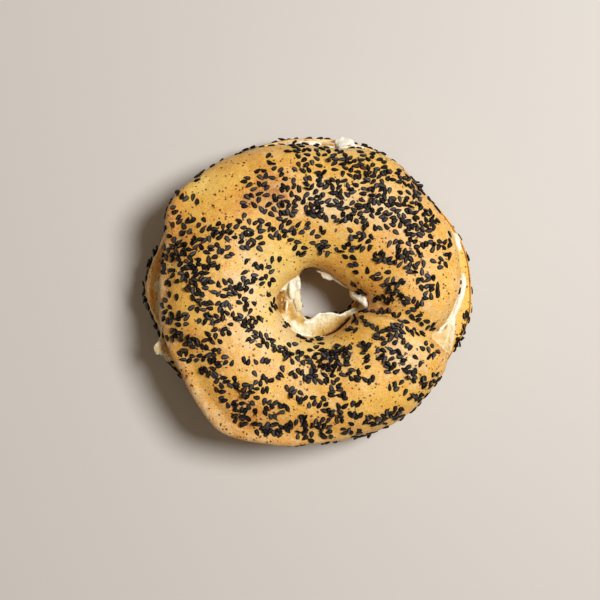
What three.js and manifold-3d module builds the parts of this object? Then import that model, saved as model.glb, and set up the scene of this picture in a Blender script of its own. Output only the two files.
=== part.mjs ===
// A sliced bagel, crusted with black sesame and filled with cream cheese, lying flat on a table.
// Three solids: the lower half, the layer of cream cheese, and the upper half that sits a little askew on it.
// Millimetres. +Z is up, and the origin is under the middle of the bagel, on the table.
// Outlines are polar: pairs of an angle in degrees, anticlockwise from +X, and a radius.
import * as THREE from "three";
import { mergeVertices } from "three/addons/utils/BufferGeometryUtils.js";
import Module from "manifold-3d";

// Heights above the table. A belt is where a half is widest.
const LOWER_BELT = 14;
const LOWER_CUT = 19;
const UPPER_CUT = 23;
const UPPER_BELT = 26;
const CREST = 44;

// The upper half: its rim, the edge of its hole, and the middle of that hole
const UPPER_RIM = [
  [0, 58.6], [20, 60.2], [40, 58.6], [58, 60.6], [76, 58], [100, 57.8], [118, 60], [135, 62.4],
  [149, 63.6], [163, 59.2], [185, 58.7], [211, 59], [224, 61.6], [239, 64.8], [256, 61.6],
  [280, 60], [303, 61.8], [322, 61.6], [334, 60.2], [339, 51.5], [346, 54.6],
];
const UPPER_HOLE = [
  [1, 19], [8, 17.6], [15, 15.6], [26, 13.4], [55, 12.1], [90, 13.7], [112, 14.5], [146, 14.7],
  [159, 15.8], [172, 16.9], [186, 16.6], [198, 15.4], [212, 14.9], [231, 14.8], [252, 13.8],
  [290, 13.2], [322, 13.1], [340, 13.9], [346, 15.2], [353, 18.6],
];
const UPPER_HOLE_MIDDLE = [4, -5.2];

// The lower half is wider, and its hole lies to the right of the one above
const LOWER_RIM = [
  [0, 64.7], [14, 64.3], [22, 63], [40, 60.2], [62, 61.4], [90, 60.8], [115, 60.6], [142, 61.6],
  [162, 61.8], [172, 64.1], [182, 64.9], [194, 62.6], [210, 61.6], [240, 61.4], [270, 60.2],
  [293, 62], [318, 61.6], [336, 62.4], [349, 64.8],
];
const LOWER_HOLE = [
  [0, 12], [40, 12.4], [90, 13], [130, 12.8], [162, 12.2], [180, 11.6], [195, 12.1], [210, 13.2],
  [227, 14.2], [238, 13.6], [247, 11.2], [257, 9.5], [284, 9.4], [301, 10.6], [335, 11.4],
];
const LOWER_HOLE_MIDDLE = [7.5, 0];
const BASE_EDGE = 0.2;

// The cream cheese: its two edges, and the height that it is scraped down to inside the upper hole
const CREAM_RIM = [
  [0, 60], [14, 60.4], [24, 60], [40, 57.4], [60, 58.6], [78, 58.8], [100, 58.6], [125, 57.6],
  [160, 57.6], [180, 59.4], [200, 60], [215, 58], [240, 59], [270, 57.6], [300, 58.6], [330, 58.6],
  [340, 57.6],
];
const CREAM_HOLE = [
  [2, 15], [10, 13.2], [16, 12.6], [25, 13.2], [47, 11.3], [60, 10.6], [76, 10.3], [89, 13],
  [110, 14.2], [122, 13.8], [134, 11], [146, 9], [160, 8.1], [185, 7.7], [228, 7.8], [241, 7.4],
  [252, 5.4], [272, 3.9], [290, 4.3], [310, 5.9], [325, 8.2], [343, 11.4], [352, 13.7],
];
const SCRAPED_TOP = 20;

// Ribbons of cream cheese squeezed out past the crust: the line that each follows, its half width and half height
const RIBBONS = [
  { path: [[8, 57, 21.2], [11, 58.6, 22.6], [14.6, 59, 23.6], [19.6, 57, 21.2]], half: [2.1, 3] },
  {
    path: [[58.4, 22, 21.4], [60.6, 8, 21.8], [60.8, -2, 22], [57.6, -9.8, 22], [53.4, -17, 21.4]],
    half: [1.7, 1.7],
  },
  { path: [[47.6, -13.6, 21.4], [52, -16.6, 22], [56.4, -21.4, 21.4]], half: [2.4, 1.9] },
  { path: [[-54.6, -15.6, 21.4], [-59.8, -21, 20.9], [-59, -25.4, 20.8], [-53.4, -28, 21.4]], half: [2.9, 1.3] },
  { path: [[4.4, 8, 21.6], [9, 6.2, 21.8], [13, 4, 22], [18, 0.4, 21.8]], half: [1.6, 1.8] },
  { path: [[16.2, 1.6, 21.4], [19, -1.6, 22.8], [22.6, -3.8, 23.8], [23.6, -8.4, 22.6]], half: [1.3, 2] },
  { path: [[-7.6, 5.4, 20.4], [-5.6, 1.4, 21.6], [-4.6, -3, 21.4], [-5.2, -8.4, 20]], half: [1.8, 1.9] },
  { path: [[-1.2, -13.4, 19.8], [3.4, -10.6, 20.6], [9, -9.8, 20.6], [15.4, -9.8, 19.8]], half: [1, 1.2] },
];

// The crease where the ends of the rope of dough overlap, and soft lumps and dents of the crust:
// the place, the radius that it spreads over, and its height
const CREASE = [[17, -8], [23.5, -9], [30.4, -9.8], [35, -12.1], [41.6, -16.3], [52, -18]];
const CREASE_DEPTH = 2.6;
const CREASE_NEAR_WIDTH = 1.6;
const CREASE_FAR_WIDTH = 7;
const LUMPS = [
  { at: [-30, 38], radius: 16, rise: 1.4 },
  { at: [-48, 20], radius: 7, rise: -1.1 },
  { at: [28, 38], radius: 15, rise: 0.9 },
  { at: [38, -34], radius: 15, rise: 1 },
  { at: [-4, -44], radius: 17, rise: -0.8 },
  { at: [-36, -26], radius: 14, rise: 0.8 },
  { at: [44, 6], radius: 12, rise: -1 },
];

// Sesame: half sizes of a seed, how far its middle stands out of the crust, and the least room between two.
// The patches are where the crust is bare.
const SEED_HALF = [1.5, 0.92, 0.55];
const SEED_LIFT = 0.05;
const SEED_SPACING = 7.2;
const SEED_TRIES = 5000;
const BARE_PATCHES = [
  { at: [-28, 40], radius: 12 },
  { at: [14.1, 58], radius: 8 },
  { at: [57, 2], radius: 9 },
  { at: [-60, -22], radius: 9 },
  { at: [8, -22], radius: 6 },
];

// How finely the solids are cut into faces, and the gap left between neighbours
const AROUND = 60;
const WALL_STEPS = 5;
const DOME_STEPS = 10;
const RIBBON_STEPS = 7;
const RIBBON_SIDES = 7;
const GAP = 0.3;

const FULL_TURN = 2 * Math.PI;
const UP = new THREE.Vector3(0, 0, 1);
const radians = THREE.MathUtils.degToRad;

// A smooth closed outline through its stations, as a function of the angle in radians
function outline(stations) {
  const count = stations.length;
  const station = (i) => {
    const turns = Math.floor(i / count);
    const [angle, radius] = stations[i - turns * count];
    return [radians(angle) + turns * FULL_TURN, radius];
  };
  const slope = (i) => {
    const [a0, r0] = station(i - 1);
    const [a1, r1] = station(i + 1);
    return (r1 - r0) / (a1 - a0);
  };
  return (angle) => {
    const first = station(0)[0];
    const wrapped = first + THREE.MathUtils.euclideanModulo(angle - first, FULL_TURN);
    let i = 0;
    while (station(i + 1)[0] <= wrapped) i++;
    const [a0, r0] = station(i);
    const [a1, r1] = station(i + 1);
    const span = a1 - a0;
    const t = (wrapped - a0) / span;
    const t2 = t * t;
    const t3 = t2 * t;
    return (
      (2 * t3 - 3 * t2 + 1) * r0 + (t3 - 2 * t2 + t) * span * slope(i) +
      (3 * t2 - 2 * t3) * r1 + (t3 - t2) * span * slope(i + 1)
    );
  };
}

const upperRing = { rim: outline(UPPER_RIM), hole: outline(UPPER_HOLE), middle: UPPER_HOLE_MIDDLE };
const lowerRing = { rim: outline(LOWER_RIM), hole: outline(LOWER_HOLE), middle: LOWER_HOLE_MIDDLE };
const creamRing = { rim: outline(CREAM_RIM), hole: outline(CREAM_HOLE), middle: UPPER_HOLE_MIDDLE };

// The place of a share of the way across a ring, at an angle. grow moves both edges outwards.
function ringPlace(ring, angle, across, grow = 0) {
  const cos = Math.cos(angle);
  const sin = Math.sin(angle);
  const inner = ring.hole(angle) - grow;
  const outer = ring.rim(angle) + grow;
  const inside = [ring.middle[0] + inner * cos, ring.middle[1] + inner * sin];
  return [
    inside[0] + (outer * cos - inside[0]) * across,
    inside[1] + (outer * sin - inside[1]) * across,
  ];
}

// How far a point lies from the crease, positive on its far side
function creaseDistance(x, y) {
  let nearest = Infinity;
  let side = 1;
  for (let i = 1; i < CREASE.length; i++) {
    const [ax, ay] = CREASE[i - 1];
    const [dx, dy] = [CREASE[i][0] - ax, CREASE[i][1] - ay];
    const along = THREE.MathUtils.clamp(((x - ax) * dx + (y - ay) * dy) / (dx * dx + dy * dy), 0, 1);
    const [ox, oy] = [x - ax - along * dx, y - ay - along * dy];
    const distance = Math.hypot(ox, oy);
    if (distance < nearest) {
      nearest = distance;
      side = Math.sign(dx * oy - dy * ox) || 1;
    }
  }
  return side * nearest;
}

// The height of the crust's lumps, dents and crease at a place on the upper half
function relief(x, y) {
  let rise = 0;
  for (const lump of LUMPS) {
    const d = Math.hypot(x - lump.at[0], y - lump.at[1]) / lump.radius;
    rise += lump.rise * Math.exp(-d * d);
  }
  const distance = creaseDistance(x, y);
  const width = distance > 0 ? CREASE_FAR_WIDTH : CREASE_NEAR_WIDTH;
  return rise - CREASE_DEPTH * Math.exp(-((distance / width) ** 2));
}

// The dome of the upper half, from 0 at the hole to 1 at the rim, and the round wall of the lower half,
// from 0 at the base to 1 at the cut
function domeStep(share) {
  const bulge = Math.sin(Math.PI * share) ** 0.86;
  return {
    across: 0.5 - 0.5 * Math.cos(Math.PI * share),
    height: UPPER_BELT + (CREST - UPPER_BELT) * bulge,
    lift: bulge,
  };
}

function wallStep(share) {
  const turn = Math.acos(1 - LOWER_CUT / LOWER_BELT) * share;
  return {
    across: 1 - BASE_EDGE * (1 - Math.sin(turn)),
    height: share < 1 ? LOWER_BELT * (1 - Math.cos(turn)) : LOWER_CUT,
    lift: 0,
  };
}

const steps = (count) => Array.from({ length: count + 1 }, (_, i) => i / count);

// A section runs from the hole's side over to the outer side. Each step holds the share of the way across,
// the height, and how far the relief lifts it.
function upperSection() {
  const dome = steps(DOME_STEPS).map((share) => domeStep(share));
  const cutEdge = 0.012;
  const cut = [1 - cutEdge, 0.7, 0.3, cutEdge].map((across) => ({ across, height: UPPER_CUT, lift: 0 }));
  return [...dome, ...cut];
}

function lowerSection() {
  const outside = steps(WALL_STEPS).map(wallStep);
  const inside = outside.map((step) => ({ ...step, across: 1 - step.across }));
  const cut = [0.3, 0.7].map((across) => ({ across, height: LOWER_CUT, lift: 0 }));
  return [...inside, ...cut, ...outside.reverse()];
}

function creamSection() {
  const middle = (LOWER_CUT + UPPER_CUT) / 2;
  const edge = 0.02;
  return [
    { across: edge, height: LOWER_CUT, lift: 0 },
    { across: 0, height: middle, lift: 0 },
    { across: edge, height: UPPER_CUT, lift: 0 },
    { across: 0.5, height: UPPER_CUT, lift: 0 },
    { across: 1 - edge, height: UPPER_CUT, lift: 0 },
    { across: 1, height: middle, lift: 0 },
    { across: 1 - edge, height: LOWER_CUT, lift: 0 },
    { across: 0.5, height: LOWER_CUT, lift: 0 },
  ];
}

const wasm = await Module();
wasm.setup();

// A closed three.js geometry as a solid that can be joined and cut
function solidOf(geometry) {
  const bare = geometry.index ? geometry.toNonIndexed() : geometry.clone();
  bare.deleteAttribute("normal");
  bare.deleteAttribute("uv");
  const merged = mergeVertices(bare, 1e-4);
  return new wasm.Manifold(
    new wasm.Mesh({
      numProp: 3,
      vertProperties: new Float32Array(merged.attributes.position.array),
      triVerts: new Uint32Array(merged.index.array),
    }),
  );
}

function solidFrom(positions, indices) {
  const geometry = new THREE.BufferGeometry();
  geometry.setAttribute("position", new THREE.Float32BufferAttribute(positions, 3));
  geometry.setIndex(indices);
  return solidOf(geometry);
}

function geometryOf(solid) {
  const mesh = solid.getMesh();
  const geometry = new THREE.BufferGeometry();
  geometry.setAttribute("position", new THREE.BufferAttribute(new Float32Array(mesh.vertProperties), 3));
  geometry.setIndex(new THREE.BufferAttribute(new Uint32Array(mesh.triVerts), 1));
  geometry.computeVertexNormals();
  return geometry;
}

// The main body of a solid, without any loose scrap
function largestOf(solid) {
  return solid.decompose().sort((a, b) => b.volume() - a.volume())[0];
}

// A ring that carries a section round both outlines. grow makes it larger on every side.
function ringSolid(ring, section, grow = 0) {
  const positions = [];
  for (let i = 0; i < AROUND; i++) {
    const angle = (FULL_TURN * i) / AROUND;
    for (const { across, height, lift } of section) {
      const [x, y] = ringPlace(ring, angle, across, grow);
      const facesDown = height === 0 || height === UPPER_CUT;
      positions.push(x, y, height + (facesDown ? -grow : grow) + lift * relief(x, y));
    }
  }
  const indices = [];
  const count = section.length;
  for (let i = 0; i < AROUND; i++) {
    const next = (i + 1) % AROUND;
    for (let k = 0; k < count; k++) {
      const beyond = (k + 1) % count;
      const [a, b] = [i * count + k, next * count + k];
      const [c, d] = [next * count + beyond, i * count + beyond];
      indices.push(a, c, b, a, d, c);
    }
  }
  return solidFrom(positions, indices);
}

// A repeatable stream of numbers from 0 to 1
function randomStream(seed) {
  let state = seed;
  return () => {
    state = (state * 1664525 + 1013904223) % 4294967296;
    return state / 4294967296;
  };
}

// One seed, lying in the surface at a place with the outward direction given there
function seedSolid(place, outward, turn) {
  const lie = new THREE.Quaternion().setFromUnitVectors(UP, outward);
  lie.multiply(new THREE.Quaternion().setFromAxisAngle(UP, turn));
  const middle = place.clone().addScaledVector(outward, SEED_LIFT);
  const matrix = new THREE.Matrix4().compose(middle, lie, new THREE.Vector3(...SEED_HALF));
  return solidOf(new THREE.SphereGeometry(1, 6, 2).rotateX(Math.PI / 2).applyMatrix4(matrix));
}

// Seeds spread evenly, by chance, over a surface that maps two shares, round and over, to a place
function seedsOn(surface, seed) {
  const chance = randomStream(seed);
  const isBare = ({ x, y }) =>
    BARE_PATCHES.some((patch) => Math.hypot(x - patch.at[0], y - patch.at[1]) < patch.radius);
  const places = [];
  const seeds = [];
  const nearby = 1e-3;
  for (let i = 0; i < SEED_TRIES; i++) {
    const [round, over] = [chance(), chance()];
    const place = surface(round, over);
    if (isBare(place) || places.some((other) => other.distanceTo(place) < SEED_SPACING)) continue;
    const east = surface(round + nearby, over).sub(place);
    const north = surface(round, over + nearby).sub(place);
    places.push(place);
    seeds.push(seedSolid(place, east.cross(north).normalize(), Math.PI * chance()));
  }
  return seeds;
}

// The seeded part of each crust. The upper half's runs over its dome, from the outer side to the hole.
function upperCrust(round, over) {
  const { across, height, lift } = domeStep(0.95 - 0.9 * over);
  const [x, y] = ringPlace(upperRing, FULL_TURN * round, across);
  return new THREE.Vector3(x, y, height + lift * relief(x, y));
}

// The lower half's climbs its outer wall, and then its inner one downwards
function lowerCrust(round, over) {
  const outerShare = 0.8;
  const isOutside = over < outerShare;
  const climb = isOutside ? over / outerShare : (1 - over) / (1 - outerShare);
  const { across, height } = wallStep(0.3 + 0.6 * climb);
  const [x, y] = ringPlace(lowerRing, FULL_TURN * round, isOutside ? across : 1 - across);
  return new THREE.Vector3(x, y, height);
}

function bread(ring, section, surface, seed) {
  return largestOf(wasm.Manifold.union([ringSolid(ring, section), ...seedsOn(surface, seed)]));
}

// A ribbon of cream, thickest in its middle, that closes to a point at both ends
function ribbonSolid({ path, half }) {
  const curve = new THREE.CatmullRomCurve3(path.map((point) => new THREE.Vector3(...point)));
  const positions = [...path[0]];
  for (let i = 1; i < RIBBON_STEPS; i++) {
    const share = 0.5 - 0.5 * Math.cos((Math.PI * i) / RIBBON_STEPS);
    const middle = curve.getPoint(share);
    const beside = curve.getTangent(share).cross(UP).normalize();
    const fullness = (1 - Math.abs(2 * share - 1) ** 3) ** 0.5;
    for (let k = 0; k < RIBBON_SIDES; k++) {
      const turn = (FULL_TURN * k) / RIBBON_SIDES;
      const point = middle.clone().addScaledVector(beside, half[0] * fullness * Math.cos(turn));
      positions.push(...point.addScaledVector(UP, half[1] * fullness * Math.sin(turn)));
    }
  }
  positions.push(...path.at(-1));
  const last = positions.length / 3 - 1;
  const indices = [];
  for (let k = 0; k < RIBBON_SIDES; k++) {
    const next = (k + 1) % RIBBON_SIDES;
    indices.push(0, 1 + k, 1 + next);
    for (let i = 0; i < RIBBON_STEPS - 2; i++) {
      const ring = 1 + i * RIBBON_SIDES;
      const beyond = ring + RIBBON_SIDES;
      indices.push(ring + k, beyond + k, beyond + next, ring + k, beyond + next, ring + next);
    }
    indices.push(last, last - RIBBON_SIDES + next, last - RIBBON_SIDES + k);
  }
  return solidFrom(positions, indices);
}

// The space inside the upper hole, down to where the cream is scraped
function scrapedSolid() {
  const [x, y] = UPPER_HOLE_MIDDLE;
  const edge = steps(AROUND).slice(1).map((share) => {
    const angle = FULL_TURN * share;
    const radius = upperRing.hole(angle);
    return new THREE.Vector2(x + radius * Math.cos(angle), y + radius * Math.sin(angle));
  });
  const geometry = new THREE.ExtrudeGeometry(new THREE.Shape(edge), {
    depth: CREST - SCRAPED_TOP,
    bevelEnabled: false,
  });
  return solidOf(geometry.translate(0, 0, SCRAPED_TOP));
}

function creamLayer() {
  const squeezedOut = wasm.Manifold.union(RIBBONS.map(ribbonSolid))
    .subtract(ringSolid(upperRing, upperSection(), GAP))
    .subtract(ringSolid(lowerRing, lowerSection(), GAP));
  return largestOf(ringSolid(creamRing, creamSection()).subtract(scrapedSolid()).add(squeezedOut));
}

const crustFinish = new THREE.MeshStandardMaterial({ color: 0xe2a94e, roughness: 0.45, metalness: 0 });
const creamFinish = new THREE.MeshStandardMaterial({ color: 0xf6f2e4, roughness: 0.5, metalness: 0 });

function named(name, solid, material) {
  const mesh = new THREE.Mesh(geometryOf(solid), material);
  mesh.name = name;
  return mesh;
}

const bagel = new THREE.Group();
bagel.add(
  named("lower_half", bread(lowerRing, lowerSection(), lowerCrust, 11), crustFinish),
  named("cream_cheese", creamLayer(), creamFinish),
  named("upper_half", bread(upperRing, upperSection(), upperCrust, 7), crustFinish),
);

export default bagel;
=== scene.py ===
"""A sliced bagel with black sesame and cream cheese, lying flat and seen from straight above.

Outlines, heights and places are in millimetres, and MM turns them into metres. Pixels are places in the
camera's picture, counted from its upper left corner.
"""

import math

import bpy
import numpy as np
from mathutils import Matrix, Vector, noise
from mathutils.bvhtree import BVHTree


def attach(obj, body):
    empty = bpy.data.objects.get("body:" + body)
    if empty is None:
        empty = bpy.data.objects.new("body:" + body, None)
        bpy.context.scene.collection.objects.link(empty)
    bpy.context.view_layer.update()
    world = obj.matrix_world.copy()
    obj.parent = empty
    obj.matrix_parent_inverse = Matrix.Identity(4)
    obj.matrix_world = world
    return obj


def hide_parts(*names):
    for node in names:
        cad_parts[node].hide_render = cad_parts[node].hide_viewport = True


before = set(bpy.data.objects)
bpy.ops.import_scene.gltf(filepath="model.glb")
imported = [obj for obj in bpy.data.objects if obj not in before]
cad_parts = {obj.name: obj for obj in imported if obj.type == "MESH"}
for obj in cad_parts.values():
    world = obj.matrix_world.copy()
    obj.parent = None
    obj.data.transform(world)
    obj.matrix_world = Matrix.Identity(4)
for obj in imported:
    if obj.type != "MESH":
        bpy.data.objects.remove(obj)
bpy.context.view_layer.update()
rng = np.random.default_rng(6)

MM = 0.001
TURN = 2 * math.pi

# The camera looks straight down. Its focal length is in pixels of the picture, which is square.
CAMERA_AT = (-3.5, -4.0, 700.0)
FOCAL_PIXELS = 1722
PICTURE = 600
SENSOR = 36

# Heights above the table. A belt is where a half is widest.
LOWER_BELT = 14
LOWER_CUT = 19
UPPER_CUT = 23
UPPER_BELT = 26
CREST = 44

# The outlines, as pairs of an angle in degrees, anticlockwise from +X, and the radius there. Rims lie about
# the origin and holes about their middles. The cream's hole shares the upper half's.
UPPER_RIM = [
    (0, 58.6), (20, 60.2), (40, 58.6), (58, 60.4), (71, 58.4), (80, 56.2), (92, 56.8), (104, 58.2), (118, 60),
    (135, 62.4), (149, 63.6), (163, 58.9), (185, 58.3), (197, 59.4), (211, 58.9), (224, 61.6), (239, 64.8),
    (256, 61.6), (280, 60), (303, 61.8), (322, 61.6), (334, 60.2), (339, 51.5), (346, 54.6),
]
UPPER_HOLE = [
    (1, 19), (8, 17.6), (15, 15.6), (26, 13.4), (55, 12.1), (90, 13.7), (114, 14.5), (130, 13.6), (145, 14.7),
    (159, 15.8), (172, 16.9), (186, 16.6), (198, 15.4), (212, 14.9), (231, 14.8), (252, 13.8), (290, 13.2),
    (322, 13.1), (340, 13.9), (346, 15.2), (353, 18.6),
]
UPPER_HOLE_MIDDLE = (4, -5.2)
LOWER_RIM = [
    (0, 64.7), (14, 64.3), (22, 63), (40, 60.2), (62, 61.4), (90, 60.2), (115, 60.6), (142, 61.6),
    (162, 61.8), (172, 64.1), (181, 65), (187, 63.8), (194, 61.8), (200, 62.2), (205, 63.3), (211, 61.6),
    (240, 61.2), (270, 60), (293, 62), (318, 61.6), (336, 62.4), (349, 64.8),
]
LOWER_HOLE = [
    (0, 12), (40, 12.4), (90, 13), (130, 12.8), (162, 12.2), (180, 11.6), (195, 12.1), (210, 13.2),
    (227, 14.2), (238, 13.6), (247, 11.2), (257, 9.5), (284, 9.4), (301, 10.6), (335, 11.4),
]
LOWER_HOLE_MIDDLE = (7.5, 0)
CREAM_RIM = [
    (0, 60), (14, 60.4), (24, 60), (40, 57.4), (60, 58.6), (78, 58.8), (100, 58.6), (125, 57.6), (160, 57.6),
    (180, 59.4), (200, 60), (215, 58), (240, 59), (270, 57.6), (300, 58.6), (330, 58.6), (340, 57.6),
]
CREAM_HOLE = [
    (2, 15), (10, 13.2), (16, 12.6), (25, 13.2), (47, 11.3), (60, 10.6), (76, 10.3), (89, 13.6), (110, 14.8),
    (123, 14.8), (129, 12), (134, 10.6), (146, 9), (160, 8.1), (185, 7.7), (228, 7.8), (241, 7.4), (252, 5.4),
    (272, 3.9), (290, 4.3), (310, 5.9), (325, 8.2), (343, 11.4), (352, 13.7),
]

# How far the edges of what is painted are shifted by noise, in pixels, and how wide that noise is
RAGGED = 1.1
RAGGED_WIDTH = 1.5


# Outlines, noise and strokes

def outline(stations):
    """A smooth closed outline through its stations, as a function of an array of angles in radians."""
    angles = np.radians([angle for angle, _ in stations])
    radii = np.array([radius for _, radius in stations], float)
    slopes = (np.roll(radii, -1) - np.roll(radii, 1)) / np.mod(np.roll(angles, -1) - np.roll(angles, 1), TURN)

    def radius_at(angle):
        wrapped = angles[0] + np.mod(angle - angles[0], TURN)
        i = np.searchsorted(angles, wrapped, side="right") - 1
        j = (i + 1) % len(angles)
        span = np.mod(angles[j] - angles[i], TURN)
        t = (wrapped - angles[i]) / span
        return ((2 * t**3 - 3 * t**2 + 1) * radii[i] + (t**3 - 2 * t**2 + t) * span * slopes[i]
                + (3 * t**2 - 2 * t**3) * radii[j] + (t**3 - t**2) * span * slopes[j])

    return radius_at


def ring_places(rim, hole, middle, across, around):
    """The x and y of each share of the way across a ring, at as many angles as around says."""
    angle = np.linspace(0, TURN, around, endpoint=False)[:, None]
    ray = np.concatenate([np.cos(angle), np.sin(angle)], 1)[:, None, :]
    inner = np.array(middle, float) + outline(hole)(angle)[:, :, None] * ray
    outer = outline(rim)(angle)[:, :, None] * ray
    return inner + (outer - inner) * across[None, :, None]


def at_height(places, height):
    """A ring's places with the height of each share of the way across."""
    return np.concatenate([places, np.broadcast_to(height[None, :, None], places.shape[:2] + (1,))], -1)


def angle_of(places):
    return np.degrees(np.arctan2(places[..., 1], places[..., 0]))


def near_angle(places, low, high, fade):
    """1 between two angles about the origin, in degrees, falling to 0 within fade degrees beyond them."""
    middle, half = (low + high) / 2, (high - low) / 2
    off = np.abs(np.mod(angle_of(places) - middle + 180, 360) - 180)
    return np.clip(1 - (off - half) / fade, 0, 1)


def outside(x, y, stations, share=1):
    """How far outside that share of an outline each place lies."""
    return np.hypot(x, y) - outline(stations)(np.arctan2(y, x)) * share


def unit(vector):
    return vector / np.linalg.norm(vector)


def noise_at(points, width, number, octaves=2):
    """Smooth noise, from about -1 to 1, with lumps of that width. Each number gives other noise."""
    shift = Vector((number * 17.1, number * 9.7, number * 5.3))
    spots = points.reshape(-1, 3) / width
    values = [noise.fractal(Vector(spot) + shift, 1.0, 2.0, octaves) for spot in spots.tolist()]
    return np.array(values).reshape(points.shape[:-1])


def bumpy(points, waves):
    """Noise of several widths at each point. Each wave is its height, followed by what noise_at takes."""
    return sum(height * noise_at(points, *rest) for height, *rest in waves)


def seen_at(points):
    """The pixel where the camera sees each point."""
    scale = FOCAL_PIXELS / (CAMERA_AT[2] - points[..., 2])
    return (PICTURE / 2 + (points[..., 0] - CAMERA_AT[0]) * scale,
            PICTURE / 2 - (points[..., 1] - CAMERA_AT[1]) * scale)


def ragged_pixels(points, amount=RAGGED):
    """The pixel of each point, shifted by a little noise so that what is painted there has rough edges."""
    px, py = seen_at(points)
    return px + amount * noise_at(points, RAGGED_WIDTH, 21), py + amount * noise_at(points, RAGGED_WIDTH, 22)


def placed_at(px, py, z):
    """The point at height z that the camera sees at a pixel."""
    scale = (CAMERA_AT[2] - z) / FOCAL_PIXELS
    return (CAMERA_AT[0] + (px - PICTURE / 2) * scale, CAMERA_AT[1] + (PICTURE / 2 - py) * scale, z)


def path_distance(x, y, path):
    """How far each place is from a path of straight pieces, and 1 on its left and -1 on its right."""
    nearest = np.full(np.shape(x), 1e9)
    side = np.ones(np.shape(x))
    for (x0, y0), (x1, y1) in zip(path, path[1:]):
        dx, dy = x1 - x0, y1 - y0
        along = np.clip(((x - x0) * dx + (y - y0) * dy) / max(dx * dx + dy * dy, 1e-9), 0, 1)
        off_x, off_y = x - x0 - along * dx, y - y0 - along * dy
        distance = np.hypot(off_x, off_y)
        side = np.where(distance < nearest, np.where(dx * off_y - dy * off_x < 0, -1, 1), side)
        nearest = np.minimum(nearest, distance)
    return nearest, side


def painted(px, py, strokes, sharp=4):
    """The strongest stroke at each pixel. Each stroke is its path, half its width and its strength, and sharp
    says how suddenly its edges fade."""
    paint = np.zeros(np.shape(px))
    for path, half_width, strength in strokes:
        gap = path_distance(px, py, path)[0]
        paint = np.maximum(paint, strength * np.exp(-((gap / half_width) ** sharp) * 0.7))
    return paint


def patched(px, py, patches, usual):
    """The usual amount, with that of each soft round patch added."""
    amount = np.full(px.shape, usual)
    for middle_x, middle_y, radius_x, radius_y, more in patches:
        amount += more * np.exp(-((px - middle_x) / radius_x) ** 2 - ((py - middle_y) / radius_y) ** 2)
    return amount


# Meshes

def swelling(points, amount):
    """The way that each point goes when a grid that closes on itself both ways swells by an amount."""
    along = np.roll(points, -1, 0) - np.roll(points, 1, 0)
    over = np.roll(points, -1, 1) - np.roll(points, 1, 1)
    outward = np.cross(over, along)
    outward = outward / np.maximum(np.linalg.norm(outward, axis=2, keepdims=True), 1e-9)
    return outward * amount[..., None]


def new_object(name, data):
    made = bpy.data.objects.new(name, data)
    bpy.context.scene.collection.objects.link(made)
    return made


def mesh_object(name, points, faces, materials, attributes=None, face_material=None):
    """A smooth mesh from points in millimetres."""
    mesh = bpy.data.meshes.new(name)
    mesh.from_pydata((np.asarray(points).reshape(-1, 3) * MM).tolist(), [], faces)
    for material in materials:
        mesh.materials.append(material)
    if face_material is not None:
        mesh.polygons.foreach_set("material_index", face_material)
    mesh.polygons.foreach_set("use_smooth", np.ones(len(mesh.polygons), bool))
    for key, values in (attributes or {}).items():
        layer = mesh.attributes.new(key, "FLOAT", "POINT")
        layer.data.foreach_set("value", np.asarray(values, np.float32).ravel())
    mesh.update()
    return new_object(name, mesh)


def ring_object(name, points, materials, attributes, is_cut=False):
    """A mesh from a grid of points that closes on itself both ways. is_cut says which of the faces across the
    ring have the second material."""
    around, across = points.shape[:2]
    i, j = np.meshgrid(np.arange(around), np.arange(across), indexing="ij")
    i2, j2 = (i + 1) % around, (j + 1) % across
    corners = np.stack([i * across + j, i * across + j2, i2 * across + j2, i2 * across + j], -1)
    face_material = np.tile(np.broadcast_to(is_cut, across), around).astype(np.int32)
    return mesh_object(name, points, corners.reshape(-1, 4).tolist(), materials, attributes, face_material)


# Materials

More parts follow.
